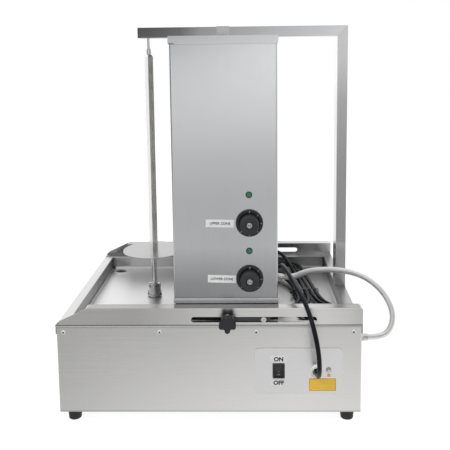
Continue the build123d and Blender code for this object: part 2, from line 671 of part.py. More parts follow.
def rocker_bezel():
    """Switch body behind the plate with its rim and the well that the rocker tilts in."""
    face = -HALF_D - 1.0
    body = block((ROCKER_X - 10.7, ROCKER_X + 10.7), (face - 2, face),
                 (ROCKER_Z - 13.4, ROCKER_Z + 13.4))
    body = fillet(body.edges().filter_by(Axis.Y), 1.5)
    body += block((ROCKER_X - 9.5, ROCKER_X + 9.5), (face - 0.5, face + 24),
                  (ROCKER_Z - 12.2, ROCKER_Z + 12.2))
    body -= block((ROCKER_X - 7.7, ROCKER_X + 7.7), (face - 5, face + 10),
                  (ROCKER_Z - 11.3, ROCKER_Z + 11.3))
    return body - rod("x", (ROCKER_PIVOT_Y, ROCKER_Z), 1.5 + RUNNING, ROCKER_X - 8.8, ROCKER_X + 8.8)


def rocker_switch():
    """Two-sided rocker on its pivot pin, at rest with its upper half pressed."""
    face = -HALF_D - 1.0
    shape = [(face - 1.6, -9.9), (face - 0.2, 0), (face - 1.6, 9.9), (face + 5, 9.0), (face + 5, -9.0)]
    body = slab(shape, "x", -7.2, 7.2)
    body += rod("x", (ROCKER_PIVOT_Y, 0), 1.5, -8.6, 8.6)
    turned = Pos(0, ROCKER_PIVOT_Y, 0) * Rot(-ROCKER_TILT, 0, 0) * Pos(0, -ROCKER_PIVOT_Y, 0) * body
    return Pos(ROCKER_X, 0, ROCKER_Z) * turned


def plate_stickers(pairs):
    """Thin stickers on the plate, from their X and Z spans."""
    face = -HALF_D - 1.0
    return [block(x, (face - 0.4, face), z) for x, z in pairs]


def cable_grommet():
    """White ring in the plate; its inner wall holds the cord's end face."""
    face = -HALF_D - 1.0
    centre = (GROMMET_X, GROMMET_Z)
    body = rod("y", centre, 11.7, face - 3, face)
    body = fillet(body.faces().sort_by(Axis.Y)[0].edges(), 1.2)
    body += rod("y", centre, 8.4, face - 1, face + 9)
    return body - rod("y", centre, 7.0, face - 4, CORD_START_Y)


CORD_START_Y = -HALF_D + 3.0


def earth_terminal():
    """Earth stud with a washer, a nut and a copper tag."""
    face = -HALF_D - 1.0
    body = rod("y", EARTH, 2.5, face - 6, face + 8)
    body += rod("y", EARTH, 5.2, face - 1, face)
    nut = extrude(RegularPolygon(4.4, 6), 1.6, both=True)
    body += Pos(EARTH[0], face - 2.6, EARTH[1]) * Rot(90, 0, 0) * nut
    return body + block((EARTH[0] - 2.4, EARTH[0] + 2.4), (face - 0.9, face), (EARTH[1] - 11, EARTH[1]))


def terminal_block():
    """Row of terminals on the base's floor behind the plate."""
    low = FOOT_HEIGHT + SHEET
    body = block((150, 216), (-190, -168), (low, low + 24))
    for i in range(5):
        x = 157.0 + 13.0 * i
        body -= rod("z", (x, -179), 3.0, low + 12, low + 25)
    return body


def case_fasteners():
    """Pan-head screws in the front and back walls, two small rivets and the post's bolts."""
    group = []
    for s in (-1, 1):
        for x in SCREW_X:
            head = sorted((s * HALF_D, s * (HALF_D + 2.4)))
            shank = sorted((s * (HALF_D - 6), s * (HALF_D + 0.5)))
            screw = rod("y", (x, SCREW_Z), 3.9, *head)
            outer = screw.faces().sort_by(Axis.Y)[0 if s < 0 else -1]
            screw = fillet(outer.edges(), 1.4)
            group.append(screw + rod("y", (x, SCREW_Z), 2.0, *shank))
    for spot in RIVETS:
        head = rod("y", spot, 1.2, -HALF_D - 0.7, -HALF_D)
        group.append(head + rod("y", spot, RIVET_R, -HALF_D - 0.5, -HALF_D + 3))
    for y in POST_BOLT_Y:
        bolt = rod("z", (POST_MID_X, y), 2.9, FRAME_UNDER - 1, FRAME_TOP + 4.5)
        group.append(bolt + rod("z", (POST_MID_X, y), 4.5, FRAME_UNDER - 4, FRAME_UNDER))
    return group


# Cords


def routed_tube(points, radius, name):
    """A round tube along straight runs joined by the largest arcs that the runs allow."""
    spots = [Vector(*p) for p in points]
    radii = []
    for a, b, c in zip(spots, spots[1:], spots[2:]):
        turn = math.radians((b - a).get_angle(c - b))
        run = min((b - a).length, (c - b).length)
        radii.append(0.45 * run / math.tan(turn / 2))
    path = FilletPolyline(*points, radius=radii)
    tube = sweep(Plane(path @ 0, z_dir=path % 0) * Circle(radius), path=path)
    ratio = tube.volume / (math.pi * radius ** 2 * path.length)
    print(f"{name}: length {path.length:.0f} mm, volume over section times length {ratio:.4f}, "
          f"radii {[round(r) for r in radii]} mm")
    return tube


# Loose stretch: from the grommet up over the front rail, over the conduit and round
# behind the housing, then down into the bundle
CORD_ROUTE = (
    (GROMMET_X, CORD_START_Y, GROMMET_Z),
    (GROMMET_X, -235.0, GROMMET_Z),
    (189.3, -255.3, 108.8),
    (188.8, -268.2, 127.9),
    (187.3, -270.8, 152.9),
    (183.0, -265.0, 181.0),
    (176.5, -248.5, 207.0),
    (168.5, -221.0, 226.5),
    (161.0, -187.0, 233.5),
    (154.5, -150.0, 236.5),
    (147.5, -111.0, 241.5),
    (141.5, -73.0, 242.5),
    (138.5, -34.0, 234.5),
    (138.5, 4.0, 219.0),
    (135.5, 37.0, 207.0),
    (117.0, 62.0, 203.0),
    (93.0, 82.0, 202.0),
    (71.0, 103.5, 202.0),
    (62.0, 126.0, 202.0),
    (65.5, 149.0, 202.0),
    (81.0, 166.5, 202.0),
    (101.5, 175.0, 203.0),
    (124.0, 172.0, 204.0),
    (142.5, 157.5, 204.0),
    (153.5, 135.0, 202.0),
    (161.0, 107.0, 196.5),
    (171.5, 76.0, 183.0),
)

# Bundle: its middle, the direction of its long axis and its climb towards the back
HANK_MIDDLE = (188.5, 10.0, 166.5)
HANK_TURN = 6.5              # degrees from +Y towards -X
HANK_CLIMB = 1.3             # degrees
HANK_STEP = 10.3             # strand to strand at the waist
HANK_LOOPS = (24.5, 35.0)    # half widths of the end loops
HANK_START, HANK_END = 10.0, -22.0
HANK_LEAD = 28.0             # straight lead into the bundle's first strand
HANK_TIE = -10.0             # the cable tie's place along the bundle

# The bundle's two ends, -1 in front and 1 at the back: length of the straight waist,
# length over which the strands fan out, and the end loops' sideways shift
HANK_WAIST = {-1: 42.0, 1: 35.0}
HANK_FAN = {-1: 70.0, 1: 100.0}
HANK_SWAY = {-1: 3.0, 1: -16.0}


def hank_point(side, along):
    """A point of the bundle's plane, from its sideways and lengthwise places."""
    turn, climb = math.radians(HANK_TURN), math.radians(HANK_CLIMB)
    ahead = Vector(-math.sin(turn) * math.cos(climb), math.cos(turn) * math.cos(climb), math.sin(climb))
    across = Vector(math.cos(turn), math.sin(turn), 0)
    return Vector(*HANK_MIDDLE) + ahead * along + across * side


def hank_fan(side_in, side_out, end, outward):
    """Two tangent arcs that take a strand from the waist to its end loop, or back."""
    waist, fan = HANK_WAIST[end], HANK_FAN[end]
    near, far = (side_in, end * waist), (side_out, end * (waist + fan))
    middle = ((side_in + side_out) / 2, end * (waist + fan / 2))
    start, stop = (near, far) if outward else (far, near)
    heading = end if outward else -end
    first = hank_arc(start, middle, heading)
    return [first, hank_arc(stop, middle, -heading, backwards=True)]


def hank_arc(foot, tip, heading, backwards=False):
    """The arc that leaves foot lengthwise and ends at tip, or runs the other way."""
    direction = hank_point(0, heading) - hank_point(0, 0)
    arc = TangentArc(hank_point(*foot), hank_point(*tip), tangent=direction)
    if not backwards:
        return arc
    return ThreePointArc(arc @ 1, arc @ 0.5, arc @ 0)


def hank_path():
    """The bundle's centre line: five strands joined by four end loops."""
    sides = [0.0, HANK_STEP, -HANK_STEP, 2 * HANK_STEP, -2 * HANK_STEP]
    pieces = [Line(hank_point(0, HANK_START), hank_point(0, -HANK_WAIST[-1]))]
    end = -1
    for i, (side, after) in enumerate(zip(sides, sides[1:])):
        half, sway = HANK_LOOPS[i // 2], HANK_SWAY[end]
        sign = 1 if after > 0 else -1
        before_loop, after_loop = sway - sign * half, sway + sign * half
        lay = end * (HANK_WAIST[end] + HANK_FAN[end])
        pieces += hank_fan(side, before_loop, end, True)
        pieces.append(ThreePointArc(hank_point(before_loop, lay), hank_point(sway, lay + end * half),
                                    hank_point(after_loop, lay)))
        pieces += hank_fan(after, after_loop, end, False)
        stop = -end * HANK_WAIST[-end] if i < 3 else HANK_END
        pieces.append(Line(hank_point(after, end * HANK_WAIST[end]), hank_point(after, stop)))
        end = -end
    return Wire(pieces)


def hank_gap(path):
    """Least gap between the bundle's tube and itself, measured on points of its centre line."""
    count = 700
    spots = [path @ (i / count) for i in range(count + 1)]
    step = path.length / count
    skip = int(3.5 * CORD_R / step) + 4
    least = min((spots[i] - spots[j]).length
                for i in range(count + 1) for j in range(i + skip, count + 1))
    return least - 2 * CORD_R


def cord_hank():
    """The bundle as one unbroken tube."""
    path = hank_path()
    tube = sweep(Plane(path @ 0, z_dir=path % 0) * Circle(CORD_R), path=path)
    print(f"cord_hank: length {path.length:.0f} mm, least gap to itself {hank_gap(path):.2f} mm, "
          f"volume over section times length "
          f"{tube.volume / (math.pi * CORD_R ** 2 * path.length):.4f}")
    return tube


def cord_tie():
    """Cable tie round the bundle's waist, its head on the left."""
    half, rise, wall = 2.5 * HANK_STEP + 0.4, CORD_R + 0.5, 1.2
    body = Box(2 * (half + wall), 3.6, 2 * (rise + wall)) - Box(2 * half, 5, 2 * rise)
    body += Pos(-half - wall - 2, 0, 0) * Box(5, 6, 5)
    spot = hank_point(0, HANK_TIE)
    return Pos(spot.X, spot.Y, spot.Z) * Rot(0, 0, HANK_TURN) * Rot(HANK_CLIMB, 0, 0) * body


# Tail: from the bundle's last strand round to the plug under the housing
PLUG = (96.0, -91.0, 176.5)
TAIL_TURN = ((170.0, -57.0, 163.5), (158.5, -76.0, 163.5), (140.0, -87.5, 165.0), (118.0, -91.0, 170.5))
TAIL_LEAD = 20.0             # straight run on from the last strand


def cord_route():
    """The loose stretch ends square on the bundle's first strand."""
    lead = (tuple(hank_point(0, HANK_START + HANK_LEAD)), tuple(hank_point(0, HANK_START)))
    return CORD_ROUTE + lead


def cord_tail():
    """Short stretch from the bundle to the plug."""
    side = -2 * HANK_STEP
    start = [tuple(hank_point(side, along)) for along in (HANK_END, HANK_END - TAIL_LEAD)]
    return routed_tube(start + list(TAIL_TURN) + [PLUG], CORD_R, "cord_tail")


def plug():
    """Mains plug lying on the tray floor, its two pins towards -X."""
    x, y, z = PLUG
    body = rod("x", (y, z), 18.5, x - 46, x - 22)
    body = fillet(body.edges(), 3)
    neck = Pos(x - 13, y, z) * Rot(0, 90, 0) * Cone(15.5, 7.5, 24)
    body += neck
    for s in (-1, 1):
        body += rod("x", (y + s * 9.5, z), 2.4, x - 65, x - 44)
    return body


CONDUIT_ROUTE = (
    (HOUSE_GLAND[0] + 18, HOUSE_GLAND[1], HOUSE_GLAND[2]),
    (160.0, HOUSE_GLAND[1], HOUSE_GLAND[2]),
    (177.0, -91.0, 236.5),
    (199.0, -95.0, 243.0),
    (238.0, -103.0, 246.5),
    (277.0, -117.0, 243.0),
    (306.0, -133.0, 229.5),
    (327.0, -150.0, 206.0),
    (335.0, -165.0, 178.0),
    (324.5, -176.5, 153.5),
    (304.5, BASE_GLAND[1], BASE_GLAND[2]),
    (BASE_GLAND[0] + 16, BASE_GLAND[1], BASE_GLAND[2]),
)


def build():
    """Every piece under its node's name."""
    parts["base_shell"] = base_shell()
    parts["bottom_plate"] = bottom_plate()
    parts["feet"] = feet()
    parts["top_frame"] = top_frame()
    parts["near_rail"] = rail()
    parts["far_rail"] = mirrored(rail())
    parts["drip_tray"] = drip_tray()
    parts["grease_drawer"] = grease_drawer()
    parts["motor_bracket"] = motor_bracket()
    parts["gear_motor"] = gear_motor()
    parts["shaft_bush"] = shaft_bush()
    parts["drive_shaft"] = drive_shaft()
    parts["drive_socket"] = drive_socket()
    parts["socket_screws"] = socket_screws()
    parts["skewer_rod"] = skewer_rod()
    parts["skewer_tube"] = skewer_tube()
    parts["top_collar"] = top_collar()
    parts["meat_disc"] = meat_disc()
    parts["post"] = post()
    parts["top_bar"] = top_bar()
    parts["bar_bush"] = bar_bush()
    parts["bar_clip"] = bar_clip()
    parts["housing_shell"] = housing_shell()
    parts["housing_cover"] = housing_cover()
    parts["housing_floor"] = housing_floor()
    parts["heat_reflector"] = heat_reflector()
    parts["lower_element"] = heating_element(ELEMENT_START[0])
    parts["upper_element"] = heating_element(ELEMENT_START[1])
    parts["element_holders"] = element_holders()
    parts["guard_grille"] = guard_grille()
    parts["near_carriage"] = carriage()
    parts["far_carriage"] = mirrored(carriage())
    parts["clamp_stud"] = clamp_stud()
    parts["guide_bolts"] = guide_bolts()
    parts["star_knob"] = star_knob()
    for level, z in (("upper", UPPER_KNOB_Z), ("lower", LOWER_KNOB_Z)):
        parts[level + "_regulator"] = regulator(z)
        parts[level + "_knob"] = control_knob(z)
        parts[level + "_knob_face"] = knob_face(z)
    parts["pilot_lamps"] = pilot_lamps()
    parts["zone_labels"] = zone_labels()
    parts["housing_gland"] = gland(HOUSE_GLAND, 18)
    parts["base_gland"] = gland(BASE_GLAND, 16)
    parts["conduit"] = routed_tube(CONDUIT_ROUTE, CONDUIT_R, "conduit")
    parts["access_plate"] = access_plate()
    parts["rocker_bezel"] = rocker_bezel()
    parts["rocker_switch"] = rocker_switch()
    parts["switch_labels"] = plate_stickers((((107.7, 137.6), (114.2, 126.8)),
                                             ((107.7, 137.6), (70.5, 83.3))))
    parts["rating_plate"] = plate_stickers((((176.3, 223.9), (61.9, 85.3)),))
    parts["cable_grommet"] = cable_grommet()
    parts["earth_terminal"] = earth_terminal()
    parts["terminal_block"] = terminal_block()
    parts["case_fasteners"] = case_fasteners()
    parts["power_cord"] = routed_tube(cord_route(), CORD_R, "power_cord")
    parts["cord_hank"] = cord_hank()
    parts["cord_tail"] = cord_tail()
    parts["cord_tie"] = cord_tie()
    parts["plug"] = plug()


def save():
    """One STEP file for each node."""
    os.makedirs("parts", exist_ok=True)
    for name, shape in parts.items():
        if isinstance(shape, list):
            shape = Compound(children=[s for piece in shape for s in piece.solids()])
        export_step(shape, f"parts/{name}.step")
    print(len(parts), "nodes")


build()
save()
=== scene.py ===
# %% [markdown]
# # A vertical kebab grill
# A steel base carries a drip tray, two slotted rails and a gallows of rectangular tube. A skewer with
# a round plate turns in the tray, and a tall heater housing slides towards it on the rails. The solids
# come from the CAD model. This lesson gives them their finishes and adds the pieces that CAD leaves
# plain: cords, knobs, lamps, screws, labels and the ribbed conduit.

# %% Load the frame
import math

import bmesh
import bpy
from mathutils import Matrix, Vector


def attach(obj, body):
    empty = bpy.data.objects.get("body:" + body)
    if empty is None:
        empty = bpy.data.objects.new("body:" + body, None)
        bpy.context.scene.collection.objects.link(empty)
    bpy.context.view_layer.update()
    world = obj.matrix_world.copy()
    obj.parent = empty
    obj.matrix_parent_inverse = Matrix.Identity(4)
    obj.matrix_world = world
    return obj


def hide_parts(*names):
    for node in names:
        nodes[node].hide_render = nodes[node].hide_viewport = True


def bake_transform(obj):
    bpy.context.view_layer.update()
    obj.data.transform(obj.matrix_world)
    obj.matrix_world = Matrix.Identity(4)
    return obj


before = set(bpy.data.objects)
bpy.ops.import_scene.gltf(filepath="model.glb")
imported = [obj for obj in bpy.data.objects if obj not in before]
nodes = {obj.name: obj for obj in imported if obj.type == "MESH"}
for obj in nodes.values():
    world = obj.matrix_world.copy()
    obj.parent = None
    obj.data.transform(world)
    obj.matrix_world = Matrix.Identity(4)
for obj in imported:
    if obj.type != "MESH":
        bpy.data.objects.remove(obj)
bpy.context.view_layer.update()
print(len(nodes), "solids loaded")

# %% [markdown]
# Sizes are easier to read in millimetres, and Blender works in metres, so each place goes through one
# small helper. A second one turns a finished bmesh into an object that rides on a body of the model.

# %% Places and pieces
MM = 0.001


def at(x, y, z):
    """A place given in millimetres."""
    return Vector((x, y, z)) * MM


def piece(name, bm, body, finish, smooth=35):
    """A bmesh in millimetres becomes an object, with edges over the angle left sharp."""
    bmesh.ops.transform(bm, matrix=Matrix.Scale(MM, 4), verts=bm.verts)
    mesh = bpy.data.meshes.new(name)
    bm.to_mesh(mesh)
    bm.free()
    mesh.shade_smooth()
    mesh.set_sharp_from_angle(angle=math.radians(smooth))
    mesh.materials.append(finish)
    made = bpy.data.objects.new(name, mesh)
    bpy.context.scene.collection.objects.link(made)
    if body:
        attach(made, body)
    print(name, len(mesh.polygons), "faces")
    return made


# %% [markdown]
# The camera stands a little right of the grill's middle, about 1.3 m away and 0.63 m high, and looks
# down by seven degrees. The photograph is a crop whose optical centre lies above its middle, so the
# lens is shifted as well, and upright edges lean only as much as they do in the picture.

# %% Camera
CAMERA = at(67.8, -1293.7, 634.5)
FOCAL_PX, FRAME_PX = 643.0, 450.0
CENTRE_PX = (232.0, 144.1)
PITCH, YAW, ROLL = math.radians(6.98), math.radians(-1.21), math.radians(-0.63)

ahead = Vector((math.sin(YAW) * math.cos(PITCH), math.cos(YAW) * math.cos(PITCH), -math.sin(PITCH)))
level = ahead.cross(Vector((0, 0, 1))).normalized()
upright = level.cross(ahead)
right = level * math.cos(ROLL) + upright * math.sin(ROLL)
up = upright * math.cos(ROLL) - level * math.sin(ROLL)

lens = bpy.data.cameras.new("Camera")
lens.sensor_width = 36.0
lens.lens = FOCAL_PX / FRAME_PX * lens.sensor_width
lens.shift_x = (FRAME_PX / 2 - CENTRE_PX[0]) / FRAME_PX
lens.shift_y = (CENTRE_PX[1] - FRAME_PX / 2) / FRAME_PX
camera = bpy.data.objects.new("Camera", lens)
turn = Matrix((right, up, -ahead)).transposed().to_4x4()
camera.matrix_world = Matrix.Translation(CAMERA) @ turn
bpy.context.scene.collection.objects.link(camera)
bpy.context.scene.camera = camera
print("lens", round(lens.lens, 2), "mm, shift", round(lens.shift_x, 4), round(lens.shift_y, 4))

# %% [markdown]
# Shader maths reads best as plain arithmetic. A `Value` wraps one socket, so that `1 - mask` or
# `base + 0.1 * grain` adds the Math nodes by itself. A `Finish` holds one material: its `node` method
# makes any other node, sets it up and feeds its sockets.


# %% Shader expressions
class Value:
    """One socket of a shader, for use in expressions."""

    def __init__(self, finish, socket):
        self.finish, self.socket = finish, socket

    def maths(self, kind, a, b):
        return self.finish.node("ShaderNodeMath", {"operation": kind}, {0: a, 1: b})

    def __add__(self, other):
        return self.maths("ADD", self, other)

    def __sub__(self, other):
        return self.maths("SUBTRACT", self, other)

    def __rsub__(self, other):
        return self.maths("SUBTRACT", other, self)

    def __mul__(self, other):
        return self.maths("MULTIPLY", self, other)

    __radd__, __rmul__ = __add__, __mul__


class Finish:
    """A material under construction, on the Principled shader."""

    def __init__(self, name, **fixed):
        self.material = bpy.data.materials.new(name)
        self.material.use_nodes = True
        self.tree = self.material.node_tree
        self.shader = self.tree.nodes["Principled BSDF"]
        for socket, value in fixed.items():
            self.feed(self.shader.inputs[socket.replace("_", " ")], value)

    def feed(self, socket, value):
        """A link, a number or a colour into a socket."""
        if isinstance(value, Value):
            self.tree.links.new(value.socket, socket)
        elif socket.type == "RGBA":
            socket.default_value = (*value[:3], 1)
        else:
            socket.default_value = value

    def node(self, kind, settings=None, sockets=None, out=0):
        """Any node: its settings first, then its sockets, then the output that is wanted."""
        made = self.tree.nodes.new(kind)
        for name, value in (settings or {}).items():
            setattr(made, name, value)
        for name, value in (sockets or {}).items():
            self.feed(made.inputs[name], value)
        return Value(self, made.outputs[out])

    def place(self, stretch):
        """The piece's own coordinates, stretched."""
        own = self.node("ShaderNodeTexCoord", out="Object")
        return self.node("ShaderNodeMapping", sockets={"Vector": own, "Scale": stretch})

    def noise(self, scale, stretch=(1, 1, 1), detail=2.0):
        """Noise from 0 to 1 on the piece's own coordinates."""
        sockets = {"Vector": self.place(stretch), "Scale": scale, "Detail": detail}
        return self.node("ShaderNodeTexNoise", sockets=sockets)

    def ramp(self, factor, stops):
        """A ramp from number to number: pairs of place and value."""
        made = self.tree.nodes.new("ShaderNodeValToRGB")
        band = made.color_ramp
        while len(band.elements) < len(stops):
            band.elements.new(0.5)
        for element, (where, value) in zip(band.elements, stops):
            element.position = where
            element.color = (value, value, value, 1)
        self.feed(made.inputs[0], factor)
        return Value(self, made.outputs[0])

    def own(self, axis):
        """One of the piece's own coordinates, in metres."""
        coordinates = self.node("ShaderNodeTexCoord", out="Object")
        return self.node("ShaderNodeSeparateXYZ", sockets={0: coordinates}, out=axis)

    def scaled(self, colour, factor):
        """A colour times a number."""
        return self.node("ShaderNodeVectorMath", {"operation": "SCALE"}, {0: colour, "Scale": factor})

    def blend(self, factor, low, high):
        """A colour between two colours."""
        mix = self.tree.nodes.new("ShaderNodeMix")
        mix.data_type = "RGBA"
        self.feed(mix.inputs[0], factor)
        self.feed(mix.inputs[6], low)
        self.feed(mix.inputs[7], high)
        return Value(self, mix.outputs[2])

    def wear(self, **sockets):
        """What changes over the surface, into the shader."""
        for name, value in sockets.items():
            self.feed(self.shader.inputs[name.replace("_", " ")], value)

    def relief(self, height, strength, depth_mm, round_mm=0.0):
        """Bump, over edges that catch the light as rounded ones do."""
        sockets = {"Height": height, "Strength": strength, "Distance": depth_mm * MM}
        if round_mm:
            settings = {"samples": 4}
            sockets["Normal"] = self.node("ShaderNodeBevel", settings, {"Radius": round_mm * MM})
        self.wear(Normal=self.node("ShaderNodeBump", sockets=sockets))


# %% [markdown]
# Stainless sheet is brushed with a belt, which leaves fine streaks along the sheet. The streaks are
# noise stretched a hundred times along one axis: they tint the metal, change its roughness and bump it
# a little. A slow, wide noise adds the hand marks that any used sheet has. Folded edges get a small
# rounding in the shader, so that they show the bright line of a real fold. Levels along the sheet
# paint light and shade onto it: brighter and darker bands, and dark seams where parts meet.


# %% Brushed sheet
STREAKS_ACROSS, STREAKS_ALONG = 900.0, 9.0


def brushed(name, tone, along, rough=0.26, contrast=0.05, round_mm=0.7, painted_light=(), tint=(1, 1, 1),
            grain=0.06):
    """Brushed stainless steel with its streaks along one axis.

    Each shade is an axis with pairs of place in millimetres and level: painted light and shade that
    brighten or darken the metal.
    """
    finish = Finish(name, Metallic=1.0)
    stretch = [STREAKS_ACROSS] * 3
    stretch["xyz".index(along)] = STREAKS_ALONG
    streak = finish.noise(1.0, stretch, 4.0)
    cloud = finish.noise(7.0, detail=3.0)
    mark = finish.noise(45.0, detail=2.0)
    mixed = streak * 0.6 + cloud * 0.4
    low, high = ([level * part for part in tint] for level in (tone - contrast, tone + contrast))
    colour = finish.blend(mixed, low, high)
    # Painted light and shade: each shade scales the metal's colour along one of the piece's own axes.
    for axis, stops in painted_light:
        place = finish.own("xyz".index(axis))
        start = stops[0][0]
        span = stops[-1][0] - start
        share = (place - start * MM) * (1.0 / (span * MM))
        painted_level = finish.ramp(share, [((where - start) / span, shade) for where, shade in stops])
        colour = finish.scaled(colour, painted_level)
    finish.wear(Base_Color=colour)
    finish.wear(Roughness=rough - 0.08 + 0.1 * streak + 0.05 * cloud + 0.03 * mark)
    finish.relief(streak, grain, 0.05, round_mm)
    return finish.material


# Painted light and shade: each table lists levels along a sheet's height or width. They brighten and
# darken it as the room's light and reflections do, and darken the seams between parts, where shade falls.
HOUSE_PAINTED_LIGHT = (("z", ((215, 0.4), (224, 0.4), (226, 0.54), (250, 0.58), (317, 0.92), (407, 0.83), (480, 0.86),
                (571, 1.0), (640, 1.1), (670, 1.12), (671.5, 0.6))),
         ("x", ((-62, 0.8), (-58, 0.96), (30, 1.0), (118, 1.07), (124, 0.85))))
RAIL_PAINTED_LIGHT = (("z", ((182, 0.28), (183.2, 0.33), (184.4, 0.95), (187, 1.0), (211, 1.0), (213.2, 1.12),
               (214, 0.72))),
        ("x", ((-270, 0.78), (-120, 0.8), (-20, 1.03), (200, 1.14), (240, 1.0), (270, 0.84))))
CASE_PAINTED_LIGHT = (("z", ((22, 0.7), (26, 1.08), (90, 1.04), (130, 1.0), (176, 0.95), (179, 0.85), (181, 0.4))),
        ("x", ((-270, 0.93), (-100, 1.03), (150, 1.1), (270, 1.02))))
POST_PAINTED_LIGHT = (("z", ((182, 0.45), (186, 0.66), (430, 0.64), (560, 0.7), (650, 0.95), (710, 1.0))),
        ("x", ((250, 1.55), (250.6, 1.55), (251.0, 1.0), (270, 1.0))))
BAR_PAINTED_LIGHT = (("x", ((-143, 0.34), (-60, 0.42), (-20, 0.77), (80, 0.87), (180, 0.98), (270, 1.08))),)
FAR_PAINTED_LIGHT = (("x", ((-270, 0.8), (120, 0.68), (270, 1.15))),)
TRAY_PAINTED_LIGHT = (("x", ((-252, 0.42), (-247, 0.5), (-243, 1.2), (-150, 1.14), (0, 0.95), (120, 0.76),
               (252, 0.66))),
        ("y", ((-192, 1.0), (170, 1.0), (186, 0.75), (188.5, 0.5), (190.5, 0.7), (192, 1.1))))
RIM_PAINTED_LIGHT = (("x", ((-270, 1.0), (0, 1.0), (200, 0.85), (270, 0.68))),)
WARM, COOL = (1.0, 0.992, 0.968), (0.975, 0.985, 1.0)
panel_steel = brushed("panel steel", 0.84, "z", 0.2, painted_light=HOUSE_PAINTED_LIGHT, tint=COOL)
case_steel = brushed("case steel", 0.78, "x", 0.24, painted_light=CASE_PAINTED_LIGHT, tint=WARM, grain=0.03)
rail_steel = brushed("rail steel", 0.8, "x", 0.22, painted_light=RAIL_PAINTED_LIGHT, tint=WARM)
# The far rail is the near rail's twin. Its lower tone is painted shade.
shaded_far_steel = brushed("far rail steel", 0.66, "x", 0.22, painted_light=FAR_PAINTED_LIGHT)
rim_steel = brushed("rim steel", 0.8, "y", 0.36, painted_light=RIM_PAINTED_LIGHT)
tray_steel = brushed("tray steel", 0.76, "y", 0.32, painted_light=TRAY_PAINTED_LIGHT)
cover_steel = brushed("cover steel", 0.95, "x", 0.22, contrast=0.03, tint=COOL)
tube_steel = brushed("tube steel", 0.78, "z", 0.2, round_mm=1.2, painted_light=POST_PAINTED_LIGHT)
bar_steel = brushed("bar steel", 0.76, "x", 0.18, round_mm=1.2, painted_light=BAR_PAINTED_LIGHT, tint=COOL)
skewer_steel = brushed("skewer steel", 0.95, "z", 0.24, contrast=0.03, round_mm=0.5)
plate_steel = brushed("plate steel", 0.88, "x", 0.3)
# The carriages get a near-black tone that is painted shade: the dark space under the housing, seen
# through the rail slots.
carriage_shade_steel = brushed("shade-dark carriage steel", 0.09, "x", 0.45, contrast=0.02)

# %% [markdown]
# The round plate under the meat was faced on a lathe, so its marks are rings. Distance from the
# skewer's axis gives them: it is worked out from the piece's own X and Y.

# %% Turned metal
SKEWER = (-125.0, 6.0)


def turned(name, tone, rough):
    """Metal with fine rings round the skewer's axis."""
    finish = Finish(name, Metallic=1.0)
    own = finish.node("ShaderNodeTexCoord", out="Object")
    middle = (SKEWER[0] * MM, SKEWER[1] * MM, 0)
    offset = finish.node("ShaderNodeVectorMath", {"operation": "SUBTRACT"}, {0: own, 1: middle})
    flat = finish.node("ShaderNodeVectorMath", {"operation": "MULTIPLY"}, {0: offset, 1: (1, 1, 0)})
    reach = finish.node("ShaderNodeVectorMath", {"operation": "LENGTH"}, {0: flat}, out="Value")
    rings = finish.node("ShaderNodeTexNoise", {"noise_dimensions": "1D"},
                        {"W": reach, "Scale": 1600.0, "Detail": 2.0})
    cloud = finish.noise(18.0)
    low, high = (tone - 0.05,) * 3, (tone + 0.04,) * 3
    finish.wear(Base_Color=finish.blend(0.5 * rings + 0.5 * cloud, low, high))
    finish.wear(Roughness=rough - 0.05 + 0.1 * rings)
    finish.relief(rings, 0.15, 0.04, 0.5)
    return finish.material


disc_steel = turned("faced disc", 0.56, 0.3)
socket_steel = turned("turned socket", 0.6, 0.25)

# %% [markdown]
# Screws, studs and wires are bright or plated metal with little grain. The heating elements have a
# sheath that has browned in use, and the reflector behind them is thin bright sheet.


# %% Plain metals
EDGE_ROUND = 0.4


def metal(name, colour, rough, speck=0.08, scale=120.0, metallic=1.0):
    """Metal with fine cloudy wear and no direction."""
    finish = Finish(name, Metallic=metallic)
    cloud = finish.noise(scale, detail=3.0)
    dark = tuple(c * (1 - speck * 2) for c in colour)
    finish.wear(Base_Color=finish.blend(cloud, dark, colour))
    finish.wear(Roughness=rough - 0.05 + 0.1 * cloud)
    finish.relief(cloud, 0.08, 0.05, EDGE_ROUND)
    return finish.material


bright_steel = metal("bright steel", (0.8, 0.8, 0.79), 0.18)
nickel = metal("nickel plate", (0.72, 0.71, 0.68), 0.25)
conduit_steel = metal("conduit strip", (0.92, 0.92, 0.91), 0.36, 0.04)
plated_steel = metal("plated screws", (0.97, 0.97, 0.96), 0.35, 0.03, metallic=0.35)
insert_steel = metal("dial insert", (0.6, 0.61, 0.63), 0.35, 0.06)
copper = metal("copper tag", (0.8, 0.38, 0.2), 0.35)
bronze = metal("bronze bush", (0.6, 0.45, 0.25), 0.35)
reflector_sheet = metal("reflector sheet", (0.95, 0.94, 0.92), 0.25, 0.04, 25.0)
zinc_sheet = metal("zinc sheet", (0.58, 0.6, 0.62), 0.45, 0.14, 60.0)
cast_alloy = metal("cast alloy", (0.45, 0.46, 0.47), 0.5, 0.12, 300.0)
element_sheath = metal("element sheath", (0.2, 0.16, 0.13), 0.5, 0.2, 90.0)

# %% [markdown]
# Moulded plastic and rubber are dark but never plain black: a fine leather-like grain breaks up the
# gloss, and dust lightens them slightly. One function serves them all, with the grain's size and the
# coat of gloss as its settings.


# %% Plastics and rubber
def moulded(name, colour, rough, grain=0.15, scale=1500.0, coat=0.0, round_mm=EDGE_ROUND,
            gloss=1.5):
    """Moulded plastic or rubber with a fine grain and a little dust; gloss is its index of refraction."""
    finish = Finish(name, Coat_Weight=coat, Coat_Roughness=0.15, IOR=gloss)
    fine = finish.noise(scale)
    dust = finish.noise(60.0, detail=4.0)
    dusty = tuple(c * 1.25 + 0.004 for c in colour)
    finish.wear(Base_Color=finish.blend(dust, colour, dusty))
    finish.wear(Roughness=rough - 0.06 + 0.12 * dust)
    finish.relief(fine, grain, 0.05, round_mm)
    return finish.material


